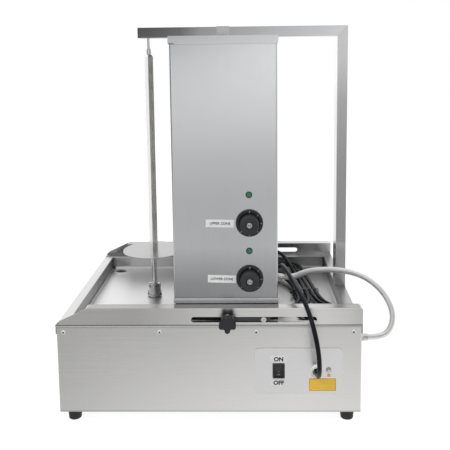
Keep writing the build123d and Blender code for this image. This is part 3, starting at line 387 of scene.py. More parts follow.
knob_plastic = moulded("knob plastic", (0.011, 0.012, 0.015), 0.36, coat=0.1)
grip_plastic = moulded("dial grip plastic", (0.022, 0.023, 0.027), 0.42)
star_plastic = moulded("clamp knob plastic", (0.012, 0.013, 0.017), 0.4, 0.3)
switch_plastic = moulded("switch plastic", (0.012, 0.012, 0.014), 0.3, 0.1, coat=0.3)
cord_jacket = moulded("cord jacket", (0.004, 0.006, 0.009), 0.32, 0.1, 900.0, gloss=1.27)
tie_nylon = moulded("tie nylon", (0.03, 0.03, 0.032), 0.4)
plug_rubber = moulded("plug rubber", (0.02, 0.02, 0.022), 0.5, 0.3)
foot_rubber = moulded("foot rubber", (0.025, 0.025, 0.026), 0.6, 0.4, 700.0, round_mm=1.0)
white_plastic = moulded("white plastic", (0.82, 0.82, 0.8), 0.4)
phenolic = moulded("phenolic", (0.06, 0.05, 0.045), 0.45, 0.3, 500.0)
ceramic = moulded("ceramic", (0.78, 0.75, 0.68), 0.6, 0.3, 400.0)
label_film = moulded("label film", (0.84, 0.84, 0.84), 0.5, 0.05, round_mm=0.0)
yellow_film = moulded("yellow film", (0.95, 0.6, 0.08), 0.4, 0.05, round_mm=0.0)
border_ink = moulded("border ink", (0.45, 0.2, 0.03), 0.5, 0.05, round_mm=0.0)
print_ink = moulded("print ink", (0.02, 0.02, 0.02), 0.55, 0.05, round_mm=0.0)
pale_ink = moulded("pale ink", (0.45, 0.46, 0.47), 0.5, 0.05, round_mm=0.0)

# %% [markdown]
# A pilot lamp's lens is clear green plastic over a dark socket: deep green at the rim and lighter where
# it faces you. Layer Weight gives that change from the shape itself.

# %% Lamp lens
lens_finish = Finish("lamp lens", Coat_Weight=0.6, Coat_Roughness=0.08)
facing = lens_finish.node("ShaderNodeLayerWeight", sockets={"Blend": 0.35}, out="Facing")
facets = lens_finish.noise(500.0)
tint = lens_finish.blend(facing + 0.3 * facets, (0.015, 0.2, 0.09), (0.0, 0.025, 0.012))
lens_finish.wear(Base_Color=tint, Roughness=0.15 + 0.1 * facets)
lamp_lens = lens_finish.material

# %% [markdown]
# Now each solid that is right as it is gets its finish. The grain follows the way the sheet was folded:
# upright on the housing, lengthwise on the rails and across the base.

# %% Dress the solids
DRESS = {
    case_steel: ["base_shell"],
    zinc_sheet: ["bottom_plate", "motor_bracket"],
    rim_steel: ["top_frame"],
    rail_steel: ["near_rail"],
    shaded_far_steel: ["far_rail"],
    carriage_shade_steel: ["near_carriage", "far_carriage"],
    tray_steel: ["drip_tray"],
    cover_steel: ["housing_cover", "housing_floor"],
    panel_steel: ["housing_shell"],
    reflector_sheet: ["heat_reflector"],
    plate_steel: ["access_plate", "grease_drawer", "bar_clip"],
    tube_steel: ["post"],
    bar_steel: ["top_bar"],
    skewer_steel: ["skewer_rod", "skewer_tube", "top_collar"],
    disc_steel: ["meat_disc"],
    socket_steel: ["drive_socket", "shaft_bush"],
    bright_steel: ["drive_shaft", "socket_screws", "clamp_stud", "guide_bolts", "guard_grille"],
    nickel: ["housing_gland", "base_gland"],
    bronze: ["bar_bush"],
    cast_alloy: ["gear_motor"],
    element_sheath: ["lower_element", "upper_element"],
    ceramic: ["element_holders"],
    phenolic: ["upper_regulator", "lower_regulator", "terminal_block"],
    star_plastic: ["star_knob"],
    switch_plastic: ["rocker_bezel", "rocker_switch"],
    white_plastic: ["cable_grommet"],
    label_film: ["zone_labels", "switch_labels"],
    yellow_film: ["rating_plate"],
    foot_rubber: ["feet"],
}


def dress(node, finish):
    """A solid's slots take a finish."""
    slots = nodes[node].material_slots
    if not slots:
        nodes[node].data.materials.append(finish)
    for slot in slots:
        slot.material = finish


for finish, names in DRESS.items():
    for name in names:
        dress(name, finish)
print(sum(map(len, DRESS.values())), "solids dressed")

# %% [markdown]
# The mains cord leaves the grommet, climbs over the front rail, crosses the conduit and bends round
# behind the housing. There it drops into a flat bundle of five strands and ends in a plug that lies
# under the housing. A NURBS spline of order three passes near its control points and never kinks, so
# the points of the loose stretch are simply those that the solid's route has.

# %% The bundle's plane
HANK_MIDDLE = (188.5, 10.0, 166.5)
HANK_TURN, HANK_CLIMB = math.radians(6.5), math.radians(1.3)
HANK_STEP = 10.3
HANK_LOOPS = (24.5, 35.0)
WAIST, FAN, SWAY = {-1: 42.0, 1: 35.0}, {-1: 70.0, 1: 100.0}, {-1: 3.0, 1: -16.0}
FAN_CORNER = 0.257
LOOP_STEP = 30


def hank_point(side, along):
    """A point of the bundle's plane, in millimetres."""
    flat = math.cos(HANK_CLIMB)
    ahead = Vector((-math.sin(HANK_TURN) * flat, math.cos(HANK_TURN) * flat, math.sin(HANK_CLIMB)))
    across = Vector((math.cos(HANK_TURN), math.sin(HANK_TURN), 0))
    return Vector(HANK_MIDDLE) + ahead * along + across * side


def end_loop(side, after, half, end):
    """Control points from one strand, round an end loop, to the next strand."""
    sign = 1 if after > side else -1
    corner = FAN[end] * FAN_CORNER
    lay, sway = WAIST[end] + FAN[end], SWAY[end]
    spots = [hank_point(side, end * (WAIST[end] + corner)),
             hank_point(sway - sign * half, end * (lay - corner))]
    reach = half / math.cos(math.radians(LOOP_STEP / 2))
    for degrees in range(LOOP_STEP // 2, 180, LOOP_STEP):
        angle = math.radians(degrees)
        aside, beyond = sign * reach * math.cos(angle), reach * math.sin(angle)
        spots.append(hank_point(sway - aside, end * (lay + beyond)))
    spots.append(hank_point(sway + sign * half, end * (lay - corner)))
    spots.append(hank_point(after, end * (WAIST[end] + corner)))
    return spots


strands = [0.0, HANK_STEP, -HANK_STEP, 2 * HANK_STEP, -2 * HANK_STEP]
bundle = []
for turn_number, (side, after) in enumerate(zip(strands, strands[1:])):
    end = -1 if turn_number % 2 == 0 else 1
    bundle += end_loop(side, after, HANK_LOOPS[turn_number // 2], end)
print(len(bundle), "control points in the bundle")

# %% [markdown]
# The whole cord is one curve. Its exit is the end of the solid inside the grommet, and its far end is
# the plug, so both are declared with it.

# %% Mains cord
CORD_START = (189.5, -212.0, 98.0)
LOOSE = [
    CORD_START, (189.5, -235.0, 98.0), (189.3, -255.3, 108.8), (188.8, -268.2, 127.9),
    (187.3, -270.8, 152.9), (183.0, -265.0, 181.0), (176.5, -248.5, 207.0), (168.5, -221.0, 226.5),
    (161.0, -187.0, 233.5),
    (154.5, -150.0, 236.5), (147.5, -111.0, 241.5), (141.5, -73.0, 242.5), (138.5, -34.0, 234.5),
    (138.5, 4.0, 219.0), (135.5, 37.0, 207.0), (117.0, 62.0, 203.0), (93.0, 82.0, 202.0),
    (71.0, 103.5, 202.0), (62.0, 126.0, 202.0), (65.5, 149.0, 202.0), (81.0, 166.5, 202.0),
    (101.5, 175.0, 203.0), (124.0, 172.0, 204.0), (142.5, 157.5, 204.0), (153.5, 135.0, 202.0),
    (161.0, 107.0, 196.5), (171.5, 76.0, 183.0), hank_point(0.0, 38.0), hank_point(0.0, 10.0),
]
LAST = 2 * HANK_STEP
PLUG = (96.0, -91.0, 176.5)
TAIL = [hank_point(-LAST, -22.0), hank_point(-LAST, -42.0), (170.0, -57.0, 163.5),
        (158.5, -76.0, 163.5), (140.0, -87.5, 165.0), (118.0, -91.0, 170.5), PLUG]
CORD_DIAMETER = 8.0


def spline(name, points, radius=0.0):
    """A smooth curve near its control points, in millimetres."""
    data = bpy.data.curves.new(name, "CURVE")
    data.dimensions = "3D"
    line = data.splines.new("NURBS")
    line.points.add(len(points) - 1)
    for control, place in zip(line.points, points):
        control.co = (*at(*place), 1)
    line.order_u = 3
    line.use_endpoint_u = True
    data.resolution_u = 10
    data.bevel_depth = radius * MM
    data.bevel_resolution = 5
    data.use_fill_caps = True
    made = bpy.data.objects.new(name, data)
    bpy.context.scene.collection.objects.link(made)
    return made


def centre_line(points):
    """Points read from a spline without thickness, in metres."""
    guide = spline("guide", points)
    mesh = bpy.data.meshes.new_from_object(guide)
    spots = [v.co.copy() for v in mesh.vertices]
    bpy.data.objects.remove(guide)
    return spots


def run_length(spots):
    """The length of a chain of points."""
    return sum((b - a).length for a, b in zip(spots, spots[1:]))


cord_points = LOOSE + bundle + TAIL
cord = spline("mains_cord", cord_points, CORD_DIAMETER / 2)
cord.data.materials.append(cord_jacket)
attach(cord, "base")
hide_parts("power_cord", "cord_hank", "cord_tail")
cord_length = run_length(centre_line(cord_points))
print("mains cord", round(cord_length, 3), "m,", len(cord_points), "control points")

# %% [markdown]
# The plug is hidden under the housing in the photograph, so it is a plain round one. Its outline is
# spun round its own axis: a grip with three rings, then the neck that grows out of the cord.

# %% Plug
RING_PITCH, RING_GROWTH = 4.5, 1.3
PIN_ASIDE = 9.5


def spun(outline, centre, axis, steps=48):
    """An outline of reach and height pairs, spun round an axis through centre."""
    bm = bmesh.new()
    verts = [bm.verts.new((reach, 0, height)) for reach, height in outline]
    edges = [bm.edges.new(pair) for pair in zip(verts, verts[1:])]
    bmesh.ops.spin(bm, geom=verts + edges, cent=(0, 0, 0), axis=(0, 0, 1), angle=2 * math.pi,
                   steps=steps, use_merge=True)
    bmesh.ops.remove_doubles(bm, verts=bm.verts, dist=1e-4)
    bmesh.ops.recalc_face_normals(bm, faces=bm.faces)
    aim = Vector((0, 0, 1)).rotation_difference(Vector(axis)).to_matrix().to_4x4()
    bmesh.ops.transform(bm, matrix=Matrix.Translation(centre) @ aim, verts=bm.verts)
    return bm


def joined(*parts):
    """Several bmeshes become one."""
    whole = bmesh.new()
    for part in parts:
        mesh = bpy.data.meshes.new("part")
        part.to_mesh(mesh)
        part.free()
        whole.from_mesh(mesh)
        bpy.data.meshes.remove(mesh)
    return whole


grip = [(0, -0.2), (7.2, -0.2), (7.6, 1), (9.5, 6)]
for ridge in range(3):
    foot, wide = 9 + RING_PITCH * ridge, RING_GROWTH * ridge
    grip += [(10.4 + wide, foot), (12.2 + wide, foot + 1.2), (12.2 + wide, foot + 2.6),
             (11.0 + wide, foot + 3.6)]
grip += [(16, 23), (18.4, 25), (18.4, 44), (17.6, 45.8), (15.6, 46), (0, 46)]
PIN = [(0, 44), (2.4, 44), (2.4, 62.5), (1.6, 64.6), (0, 65)]
LEFT = (-1, 0, 0)
pins = [spun(PIN, (PLUG[0], PLUG[1] + side * PIN_ASIDE, PLUG[2]), LEFT, 16) for side in (-1, 1)]
plug = piece("plug_body", spun(grip, PLUG, LEFT), "base", plug_rubber)
plug_pins = piece("plug_pins", joined(*pins), "base", bright_steel)
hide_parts("plug")

# %% [markdown]
# A cable tie holds the bundle at its waist. The strap is a cube drawn out into a flat band, hollowed by
# deleting its ends and thickened, with the ratchet's head on one side.

# %% Cable tie
def cuboid(low, high, bevel=0.0):
    """A box between two corners, its edges rounded."""
    bm = bmesh.new()
    bmesh.ops.create_cube(bm, size=1.0)
    low, high = Vector(low), Vector(high)
    size = Matrix.Diagonal((*(high - low), 1))
    bmesh.ops.transform(bm, matrix=Matrix.Translation((low + high) / 2) @ size, verts=bm.verts)
    if bevel:
        bmesh.ops.bevel(bm, geom=bm.edges, offset=bevel, segments=2, affect="EDGES", profile=0.5,
                        material=-1)
    return bm


TIE_HALF, TIE_RISE, TIE_ALONG = 2.5 * HANK_STEP + 0.9, 4.9, -10.0
TIE_WIDE, TIE_BEND = 1.8, 3.6
band = cuboid((-TIE_HALF, -TIE_WIDE, -TIE_RISE), (TIE_HALF, TIE_WIDE, TIE_RISE))
ends = [f for f in band.faces if abs(f.normal.y) > 0.9]
bmesh.ops.delete(band, geom=ends, context="FACES")
corners = [e for e in band.edges if abs((e.verts[0].co - e.verts[1].co).y) > 1]
bmesh.ops.bevel(band, geom=corners, offset=TIE_BEND, segments=5, affect="EDGES", profile=0.5,
                material=-1)
bmesh.ops.recalc_face_normals(band, faces=band.faces)
bmesh.ops.solidify(band, geom=band.faces, thickness=-1.0)
head = cuboid((-TIE_HALF - 5.4, -2.9, -2.4), (-TIE_HALF - 0.4, 2.9, 2.4), 0.7)
stub = cuboid((-TIE_HALF - 3.6, -1.6, 2.0), (-TIE_HALF - 2.4, 1.6, 6.5), 0.4)
tie = joined(band, head, stub)
waist = Matrix.Translation(hank_point(0, TIE_ALONG)) @ Matrix.Rotation(HANK_TURN, 4, "Z")
bmesh.ops.transform(tie, matrix=waist @ Matrix.Rotation(HANK_CLIMB, 4, "X"), verts=tie.verts)
tie_piece = piece("cable_tie", tie, "base", tie_nylon)
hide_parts("cord_tie")

# %% [markdown]
# The conduit is a steel strip wound into a ribbed hose. It is a mesh in one fixed shape, though the real
# hose bends when the housing slides. One circle is extruded again and again along the spline, and its
# size swings between crest and valley, which makes the ribs.

# %% Ribbed conduit
CONDUIT = [
    (141.2, -90.0, 228.0), (160.0, -90.0, 228.0), (177.0, -91.0, 236.5), (199.0, -95.0, 243.0),
    (238.0, -103.0, 246.5), (277.0, -117.0, 243.0), (306.0, -133.0, 229.5), (327.0, -150.0, 206.0),
    (335.0, -165.0, 178.0), (324.5, -176.5, 153.5), (304.5, -180.0, 145.5), (284.5, -180.0, 145.5),
]
CONDUIT_CREST, CONDUIT_VALLEY, RIB_PITCH = 5.5, 5.1, 2.0
SWING = (CONDUIT_VALLEY, CONDUIT_CREST - 0.1, CONDUIT_CREST, CONDUIT_CREST - 0.1)


def spaced(spots, step):
    """Points and directions at even steps along a chain."""
    result, travelled, due = [], 0.0, 0.0
    for a, b in zip(spots, spots[1:]):
        length = (b - a).length
        while due <= travelled + length and length > 0:
            result.append((a.lerp(b, (due - travelled) / length), (b - a).normalized()))
            due += step
        travelled += length
    return result


conduit_line = [p / MM for p in centre_line(CONDUIT)]
stations = spaced(conduit_line, RIB_PITCH / len(SWING))
hose = bmesh.new()
first = bmesh.ops.create_circle(hose, segments=20, radius=1.0)["verts"]
ring = list({e for v in first for e in v.link_edges})
loop, before, circle_turn = first, None, None
for count, (place, heading) in enumerate(stations):
    if circle_turn is None:
        circle_turn = Vector((0, 0, 1)).rotation_difference(heading)
    else:
        circle_turn = before.rotation_difference(heading) @ circle_turn
        made = bmesh.ops.extrude_edge_only(hose, edges=ring)["geom"]
        loop = [g for g in made if isinstance(g, bmesh.types.BMVert)]
        ring = [g for g in made if isinstance(g, bmesh.types.BMEdge)
                and all(v in loop for v in g.verts)]
        bmesh.ops.transform(hose, matrix=last.inverted(), verts=loop)
    last = Matrix.Translation(place) @ circle_turn.to_matrix().to_4x4()
    last = last @ Matrix.Diagonal((SWING[count % len(SWING)],) * 2 + (1, 1))
    bmesh.ops.transform(hose, matrix=last, verts=loop)
    before = heading
bmesh.ops.holes_fill(hose, edges=hose.edges, sides=0)
bmesh.ops.recalc_face_normals(hose, faces=hose.faces)
conduit = piece("ribbed_conduit", hose, None, conduit_steel, 80)
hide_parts("conduit")
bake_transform(conduit)

# %% [markdown]
# The two dials are black mouldings with a wide skirt and a fluted grip. The outline is spun, then the
# grip's vertices are drawn in by a cosine of their angle, which cuts the flutes. Small plain numbers
# stand on the skirt, made from text that is turned into a mesh.

# %% Dials
CONTROL_X, HOUSE_FRONT = 73.5, -193.0
UPPER_Z, LOWER_Z = 360.4, 260.0
SKIRT_BACK = HOUSE_FRONT - 1.2
FLUTES, FLUTE_DEPTH = 24, 0.045
SKIRT = [(0, -12), (3.0, -12), (3.0, 0), (23.6, 0), (24.0, 0.5), (24.0, 1.7), (23.2, 2.8), (18.6, 3.1),
         (17.4, 2.6), (17.0, 2.0), (15.0, 2.0), (0, 2.0)]
GRIP = [(0, 2.5), (16.4, 2.5), (17.3, 5.2), (16.6, 15.8), (15.9, 17.9), (14.6, 18.9), (13.2, 18.8),
        (11.2, 17.6), (8.2, 16.7), (7.4, 16.8), (6.6, 17.7), (5.9, 17.9), (5.3, 17.5), (5.0, 16.5),
        (0, 16.5)]
INSERT = [(0, 15), (4.8, 15), (4.8, 18.9), (4.3, 19.4), (3.6, 19.3), (3.3, 18.7), (0, 18.6)]


def dial(outline, z):
    """One piece of a dial, spun from its outline: skirt, fluted grip or insert."""
    bm = spun(outline, (0, 0, 0), (0, 0, 1), FLUTES * 6)
    for v in bm.verts:
        reach = math.hypot(v.co.x, v.co.y)
        if reach > 15 and 5.0 < v.co.z < 17.0:
            swing = 0.5 + 0.5 * math.cos(FLUTES * math.atan2(v.co.y, v.co.x))
            scale = 1 - FLUTE_DEPTH * swing ** 2
            v.co.x *= scale
            v.co.y *= scale
    aim = Vector((0, 0, 1)).rotation_difference(Vector((0, -1, 0))).to_matrix().to_4x4()
    place = Matrix.Translation((CONTROL_X, SKIRT_BACK, z))
    bmesh.ops.transform(bm, matrix=place @ aim, verts=bm.verts)
    return bm


def lettering(words, size, thick, weight=0.0):
    """Words as a bmesh, centred and lying in the XY plane; weight fattens the strokes."""
    text = bpy.data.curves.new("words", "FONT")
    text.body = words
    text.size = size
    text.extrude = thick / 2
    text.offset = weight
    text.align_x, text.align_y = "CENTER", "CENTER"
    holder = bpy.data.objects.new("words", text)
    mesh = bpy.data.meshes.new_from_object(holder)
    bpy.data.objects.remove(holder)
    bm = bmesh.new()
    bm.from_mesh(mesh)
    bpy.data.meshes.remove(mesh)
    return bm


STAND = Matrix.Rotation(math.radians(90), 4, "X")
FRONT = (0, -1, 0)
HOLE = [(0, 0), (0.95, 0), (0.95, 0.6), (0, 0.6)]
HOLE_ASIDE, HOLE_DROP = 1.9, 0.4
NUMBERS, NUMBER_STEP, NUMBER_SIZE = 6, 45, 4.4
NUMBER_REACH, NUMBER_LEAN = 20.4, math.radians(-11)
for zone, z in (("upper", UPPER_Z), ("lower", LOWER_Z)):
    made = piece(zone + "_dial_skirt", dial(SKIRT, z), zone + "_dial", knob_plastic)
    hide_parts(zone + "_knob")
    piece(zone + "_dial_grip", dial(GRIP, z), zone + "_dial", grip_plastic)
    made = piece(zone + "_dial_insert", dial(INSERT, z), zone + "_dial", insert_steel)
    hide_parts(zone + "_knob_face")
    # Two black discs on the insert are painted shade: the dark inside of its two pin holes.
    holes = []
    for side in (-1, 1):
        centre = (CONTROL_X + side * HOLE_ASIDE, SKIRT_BACK - 18.4, z - side * HOLE_DROP)
        holes.append(spun(HOLE, centre, FRONT, 16))
    piece(zone + "_dial_hole_shades", joined(*holes), zone + "_dial", print_ink)
    digits = []
    for index in range(NUMBERS):
        number = lettering(str(index), NUMBER_SIZE, 0.3)
        spin_to = Matrix.Rotation(math.radians(NUMBER_STEP * index), 4, "Y")
        place = Matrix.Translation((CONTROL_X, SKIRT_BACK - 3.2, z)) @ spin_to
        lift = Matrix.Translation((0, 0, NUMBER_REACH)) @ Matrix.Rotation(NUMBER_LEAN, 4, "X")
        bmesh.ops.transform(number, matrix=place @ lift @ STAND, verts=number.verts)
        digits.append(number)
    piece(zone + "_dial_numbers", joined(*digits), zone + "_dial", pale_ink)

# %% [markdown]
# Each pilot lamp is a green lens in a thin dark ring. Both are spun: the lens is a low dome, and the
# ring has a rounded lip.

# %% Pilot lamps
LAMP_X, LAMP_RISE = CONTROL_X - 0.5, 50.1
LAMP_RING = [(4.4, -18), (4.5, 0), (5.9, 0), (5.9, 0.9), (5.5, 1.5), (4.9, 1.7), (4.5, 1.5),
             (4.3, 1.0), (4.2, -18), (4.4, -18)]
LAMP_DOME = [(0, -1), (4.25, -1), (4.75, 1.5), (4.5, 2.4), (3.6, 3.1), (2.2, 3.5), (0, 3.6)]
rings, domes = [], []
for z in (UPPER_Z + LAMP_RISE, LOWER_Z + LAMP_RISE):
    centre = (LAMP_X, HOUSE_FRONT, z)
    rings.append(spun(LAMP_RING, centre, FRONT))
    domes.append(spun(LAMP_DOME, centre, FRONT, 32))
lamps = piece("lamp_rings", joined(*rings), "heater", switch_plastic)
piece("lamp_lenses", joined(*domes), "heater", lamp_lens)
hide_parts("pilot_lamps")

# %% [markdown]
# The case screws have pan heads with a cross recess. The head is spun once, and a cross of two bars is
# cut out of it with a Boolean modifier. A black disc at the bottom of each recess is painted shade.
# Copies go to every screw's place, front and back.

# %% Case screws
SCREW_X, SCREW_Z = (-256.0, -86.0, 84.0, 254.0), 170.5
CASE_FRONT = 215.0
FIRST_TURN, NEXT_TURN = 25, 40
RECESS_SHADE = [(0, 0.5), (2.6, 0.5), (2.6, 0.75), (0, 0.75)]
RIVET = [(0, -3), (0.8, -3), (0.8, 0), (1.2, 0), (1.1, 0.4), (0, 0.7)]
RIVETS = ((78.7, 135.0), (220.6, 54.6))
BOLT = [(0, 0), (4.5, 0), (4.5, 4), (2.9, 4), (2.9, 9), (0, 9)]
BOLTS = ((260.0, -4.0, 176.5), (260.0, 16.0, 176.5))


def crossed_head():
    """A pan head with its cross recess, its axis along +Z."""
    head = spun([(0, -6), (1.9, -6), (1.9, 0), (3.9, 0), (3.9, 0.8), (3.4, 1.7), (2.2, 2.3), (0, 2.4)],
                (0, 0, 0), (0, 0, 1), 32)
    cross = joined(cuboid((-2.3, -0.75, 0.6), (2.3, 0.75, 4)),
                   cuboid((-0.75, -2.3, 0.65), (0.75, 2.3, 4)))
    objects = []
    for label, bm in (("head", head), ("cross", cross)):
        mesh = bpy.data.meshes.new(label)
        bm.to_mesh(mesh)
        bm.free()
        objects.append(bpy.data.objects.new(label, mesh))
        bpy.context.scene.collection.objects.link(objects[-1])
    cut = objects[0].modifiers.new("recess", "BOOLEAN")
    cut.object, cut.operation, cut.solver = objects[1], "DIFFERENCE", "EXACT"
    cut.use_self = True
    evaluated = objects[0].evaluated_get(bpy.context.evaluated_depsgraph_get())
    result = bpy.data.meshes.new_from_object(evaluated)
    for made in objects:
        bpy.data.objects.remove(made)
    return result


head_mesh = crossed_head()
screws, recess_shades = bmesh.new(), bmesh.new()
for side in (-1, 1):
    for number, x in enumerate(SCREW_X):
        centre, outwards = (x, side * CASE_FRONT, SCREW_Z), (0, side, 0)
        copy = bmesh.new()
        copy.from_mesh(head_mesh)
        spin_to = Matrix.Rotation(math.radians(FIRST_TURN + NEXT_TURN * number), 4, "Z")
        aim = Vector((0, 0, 1)).rotation_difference(Vector(outwards)).to_matrix().to_4x4()
        place = Matrix.Translation(centre)
        bmesh.ops.transform(copy, matrix=place @ aim @ spin_to, verts=copy.verts)
        screws = joined(screws, copy)
        # Painted shade: a black disc at the bottom of the cross recess.
        recess_shades = joined(recess_shades, spun(RECESS_SHADE, centre, outwards, 24))
piece("screw_recess_shades", recess_shades, "base", print_ink)
for x, z in RIVETS:
    screws = joined(screws, spun(RIVET, (x, -CASE_FRONT, z), FRONT, 16))
for centre in BOLTS:
    screws = joined(screws, spun(BOLT, centre, (0, 0, 1), 24))
fasteners = piece("case_screws", screws, "base", plated_steel)
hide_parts("case_fasteners")

# %% [markdown]
# The switch plate carries two white stickers with ON and OFF, and its rocker has two marks of its own.
# All are text made into a thin mesh and stood upright on the face that carries them. The rocker leans
# on its hinge, so its marks are placed in the hinge's frame and tilt with it.

# %% Switch marks
PLATE_FACE = -216.0
ROCKER_X, ROCKER_Z = 122.9, 99.3
PIVOT_Y, ROCKER_TILT = -213.0, math.radians(8)
FACE_OUT, FACE_SLOPE = 3.2, 0.1414
words = []
for text, z in (("ON", 120.5), ("OFF", 76.9)):
    word = lettering(text, 10.5, 0.15, 0.4)
    bmesh.ops.transform(word, matrix=Matrix.Translation((ROCKER_X, PLATE_FACE - 0.45, z)) @ STAND,
                        verts=word.verts)
    words.append(word)
piece("switch_words", joined(*words), "base", print_ink)

marks = []
hinge = Matrix.Translation((ROCKER_X, PIVOT_Y, ROCKER_Z)) @ Matrix.Rotation(-ROCKER_TILT, 4, "X")
for text, drop in (("I", -2.6), ("O", -7.4)):
    mark = lettering(text, 4.6, 0.2)
    place = Matrix.Translation((0, FACE_SLOPE * drop - FACE_OUT - 0.05, drop))
    face = place @ Matrix.Rotation(ROCKER_TILT, 4, "X")
    bmesh.ops.transform(mark, matrix=hinge @ face @ STAND, verts=mark.verts)
    marks.append(mark)
piece("rocker_marks", joined(*marks), "rocker", pale_ink)

# %% [markdown]
# Two white labels name the heating zones. The words lean by a degree or so, as the labels do, because
# the real ones are stuck on by hand.

# %% Zone labels
ZONES = (("UPPER ZONE", 22.0, 359.7, 1.2), ("LOWER ZONE", 24.2, 259.3, 1.6))
label_words = []
for text, x, z, lean in ZONES:
    word = lettering(text, 6.2, 0.1, 0.12)
    place = Matrix.Translation((x, HOUSE_FRONT - 0.42, z)) @ Matrix.Rotation(math.radians(lean), 4, "Y")
    bmesh.ops.transform(word, matrix=place @ STAND, verts=word.verts)
    label_words.append(word)
piece("zone_words", joined(*label_words), "heater", print_ink)

# %% [markdown]
# Fat leaves the tray through a hole in its far corner, which has a low rolled lip. The lip's outline is
# spun round the hole's axis.

# %% Drain rim
DRAIN = (-227.0, 167.0, 157.0)
LIP = [(13.9, -3), (13.9, 0.3), (14.4, 0.8), (15.4, 0.8), (16.2, 0.1), (15.0, 0.1), (14.2, -3),
       (13.9, -3)]
piece("drain_rim", spun(LIP, DRAIN, (0, 0, 1)), "base", plated_steel)

# %% [markdown]
# The yellow plate is bare but for a thin printed border. It is a flat box whose front face is inset,
# and the middle is then deleted, so only the frame stays.

# %% Yellow plate's border
border = cuboid((176.9, PLATE_FACE - 0.5, 62.5), (223.3, PLATE_FACE - 0.38, 84.7))
rim_faces = [f for f in border.faces if f.normal.y < -0.9]
bmesh.ops.inset_region(border, faces=rim_faces, thickness=0.7)
bmesh.ops.delete(border, geom=rim_faces, context="FACES")
piece("plate_border", border, "base", border_ink)

# %% [markdown]
# The earth stud is a pin with a washer, a nut and a copper tag behind them. The pin and the washer are
# spun. The nut is a cone with six sides and equal ends, its edges bevelled.

# %% Earth stud
EARTH_X, EARTH_Z = 211.3, 99.5
TAG_THICK = 0.9
STUD = [(0, -7), (2.5, -7), (2.5, 5.6), (2.1, 6), (0, 6)]
WASHER = [(2.5, 1.0), (5.2, 1.0), (5.2, 0), (2.5, 0), (2.5, 1.0)]
stud = spun(STUD, (EARTH_X, PLATE_FACE, EARTH_Z), FRONT, 24)
washer = spun(WASHER, (EARTH_X, PLATE_FACE - TAG_THICK, EARTH_Z), FRONT, 32)
nut = bmesh.new()
bmesh.ops.create_cone(nut, cap_ends=True, segments=6, radius1=4.4, radius2=4.4, depth=3.0)
bmesh.ops.bevel(nut, geom=nut.edges, offset=0.3, segments=2, affect="EDGES", profile=0.5, material=-1)
seat = Matrix.Translation((EARTH_X, PLATE_FACE - 3.3, EARTH_Z))
bmesh.ops.transform(nut, matrix=seat @ STAND @ Matrix.Rotation(0.3, 4, "Z"), verts=nut.verts)
earth = piece("earth_stud", joined(stud, washer, nut), "base", bright_steel)
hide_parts("earth_terminal")
tag = cuboid((EARTH_X - 2.6, PLATE_FACE - TAG_THICK, EARTH_Z - 11),
             (EARTH_X + 2.6, PLATE_FACE, EARTH_Z + 1), 0.35)
piece("earth_tag", tag, "base", copper)

# %% [markdown]
# The grill stands on a pale floor that keeps its shadow. A grey one-face grid takes the shadow, and an
# emission that only the camera sees lifts it towards the white of the backdrop.

# %% Floor
FLOOR_HALF = 6000.0
floor_mesh = bmesh.new()
bmesh.ops.create_grid(floor_mesh, x_segments=1, y_segments=1, size=FLOOR_HALF)
floor_finish = Finish("floor", Base_Color=(0.3, 0.3, 0.3), Roughness=0.9, Emission_Strength=1.0)
seen = floor_finish.node("ShaderNodeLightPath", out="Is Camera Ray")
floor_finish.wear(Emission_Color=floor_finish.blend(seen, (0, 0, 0), (0.86, 0.86, 0.86)))
bmesh.ops.transform(floor_mesh, matrix=Matrix.Scale(MM, 4), verts=floor_mesh.verts)
floor_data = bpy.data.meshes.new("floor")
floor_mesh.to_mesh(floor_data)
floor_mesh.free()
floor_data.materials.append(floor_finish.material)
floor = bpy.data.objects.new("floor", floor_data)
bpy.context.scene.collection.objects.link(floor)
floor.visible_glossy = False

# %% [markdown]
# What the camera sees behind the grill is white, and plain soft light comes from all round, with two
# large lamps for a little direction. Metal shows what surrounds it, so reflections get a studio of
# their own, in bands of height: bright overhead, dark a little above the horizon, bright at the
# horizon, and one darker band on the way down to the floor. The bands rise towards the right, and
# behind the grill the reflected light is white, as the backdrop is.


# %% Studio light
AIM = Vector((0, 0, 0.3))
LAMP_SIZE = 1.6


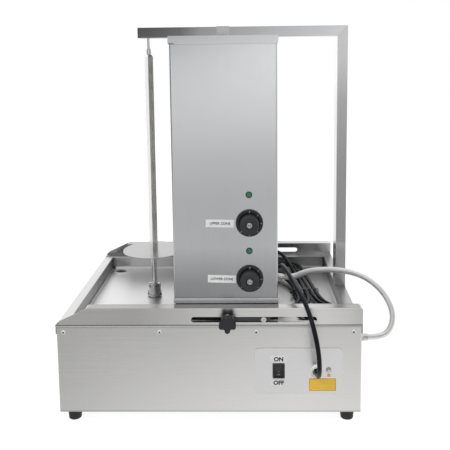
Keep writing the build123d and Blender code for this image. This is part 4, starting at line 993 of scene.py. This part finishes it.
def lamp(name, place, power):
    """A soft square light aimed at the grill."""
    data = bpy.data.lights.new(name, "AREA")
    data.size = LAMP_SIZE
    data.energy = power
    made = bpy.data.objects.new(name, data)
    made.location = place
    made.rotation_mode = "QUATERNION"
    made.rotation_quaternion = (AIM - Vector(place)).to_track_quat("-Z", "Y")
    made.visible_camera = False
    made.visible_glossy = False
    bpy.context.scene.collection.objects.link(made)


lamp("key", (-1.3, -1.4, 2.2), 26.0)
lamp("fill", (1.6, -1.0, 1.6), 12.0)


class Surroundings(Finish):
    """The world's shader, with the same helpers."""

    def __init__(self, world):
        world.use_nodes = True
        self.tree = world.node_tree
        self.shader = self.tree.nodes["Background"]


world = bpy.data.worlds.new("studio")
bpy.context.scene.world = world
studio = Surroundings(world)
way = studio.node("ShaderNodeTexCoord", out="Generated")
split = studio.tree.nodes.new("ShaderNodeSeparateXYZ")
studio.feed(split.inputs[0], way)
across, depth, height = (Value(studio, split.outputs[i]) for i in range(3))
TILT = 0.38
BANDS = ((-1.0, 0.85), (-0.6, 0.82), (-0.5, 0.76), (-0.46, 0.69), (-0.4, 0.70), (-0.38, 0.65),
         (-0.355, 0.46), (-0.335, 0.33), (-0.31, 0.36), (-0.274, 0.52), (-0.206, 0.54), (-0.146, 0.63),
         (-0.07, 0.84), (0.03, 0.86), (0.075, 0.7), (0.1, 0.2), (0.16, 0.1), (0.3, 0.14),
         (0.55, 0.6), (1.0, 1.0))
bands = [(rise * 0.5 + 0.5, light) for rise, light in BANDS]
front_light = studio.ramp((height - TILT * across) * 0.5 + 0.5, bands)
behind = studio.ramp(depth, ((0.0, 0.0), (0.25, 1.0)))
glossy_light = front_light + behind * (1.0 - front_light)
camera_ray = studio.node("ShaderNodeLightPath", out="Is Camera Ray")
glossy_ray = studio.node("ShaderNodeLightPath", out="Is Glossy Ray")
clear_ray = studio.node("ShaderNodeLightPath", out="Is Transmission Ray")
DIFFUSE_LIGHT = 0.62
seen_white = camera_ray + clear_ray
unseen = glossy_ray * glossy_light + (1 - glossy_ray) * DIFFUSE_LIGHT
studio.wear(Color=(1, 1, 1), Strength=seen_white + (1 - seen_white) * unseen)

# %% [markdown]
# Blender's usual view softens bright colours and would turn the white floor grey. Standard shows each
# colour as it was written.

# %% View settings
bpy.context.scene.view_settings.view_transform = "Standard"
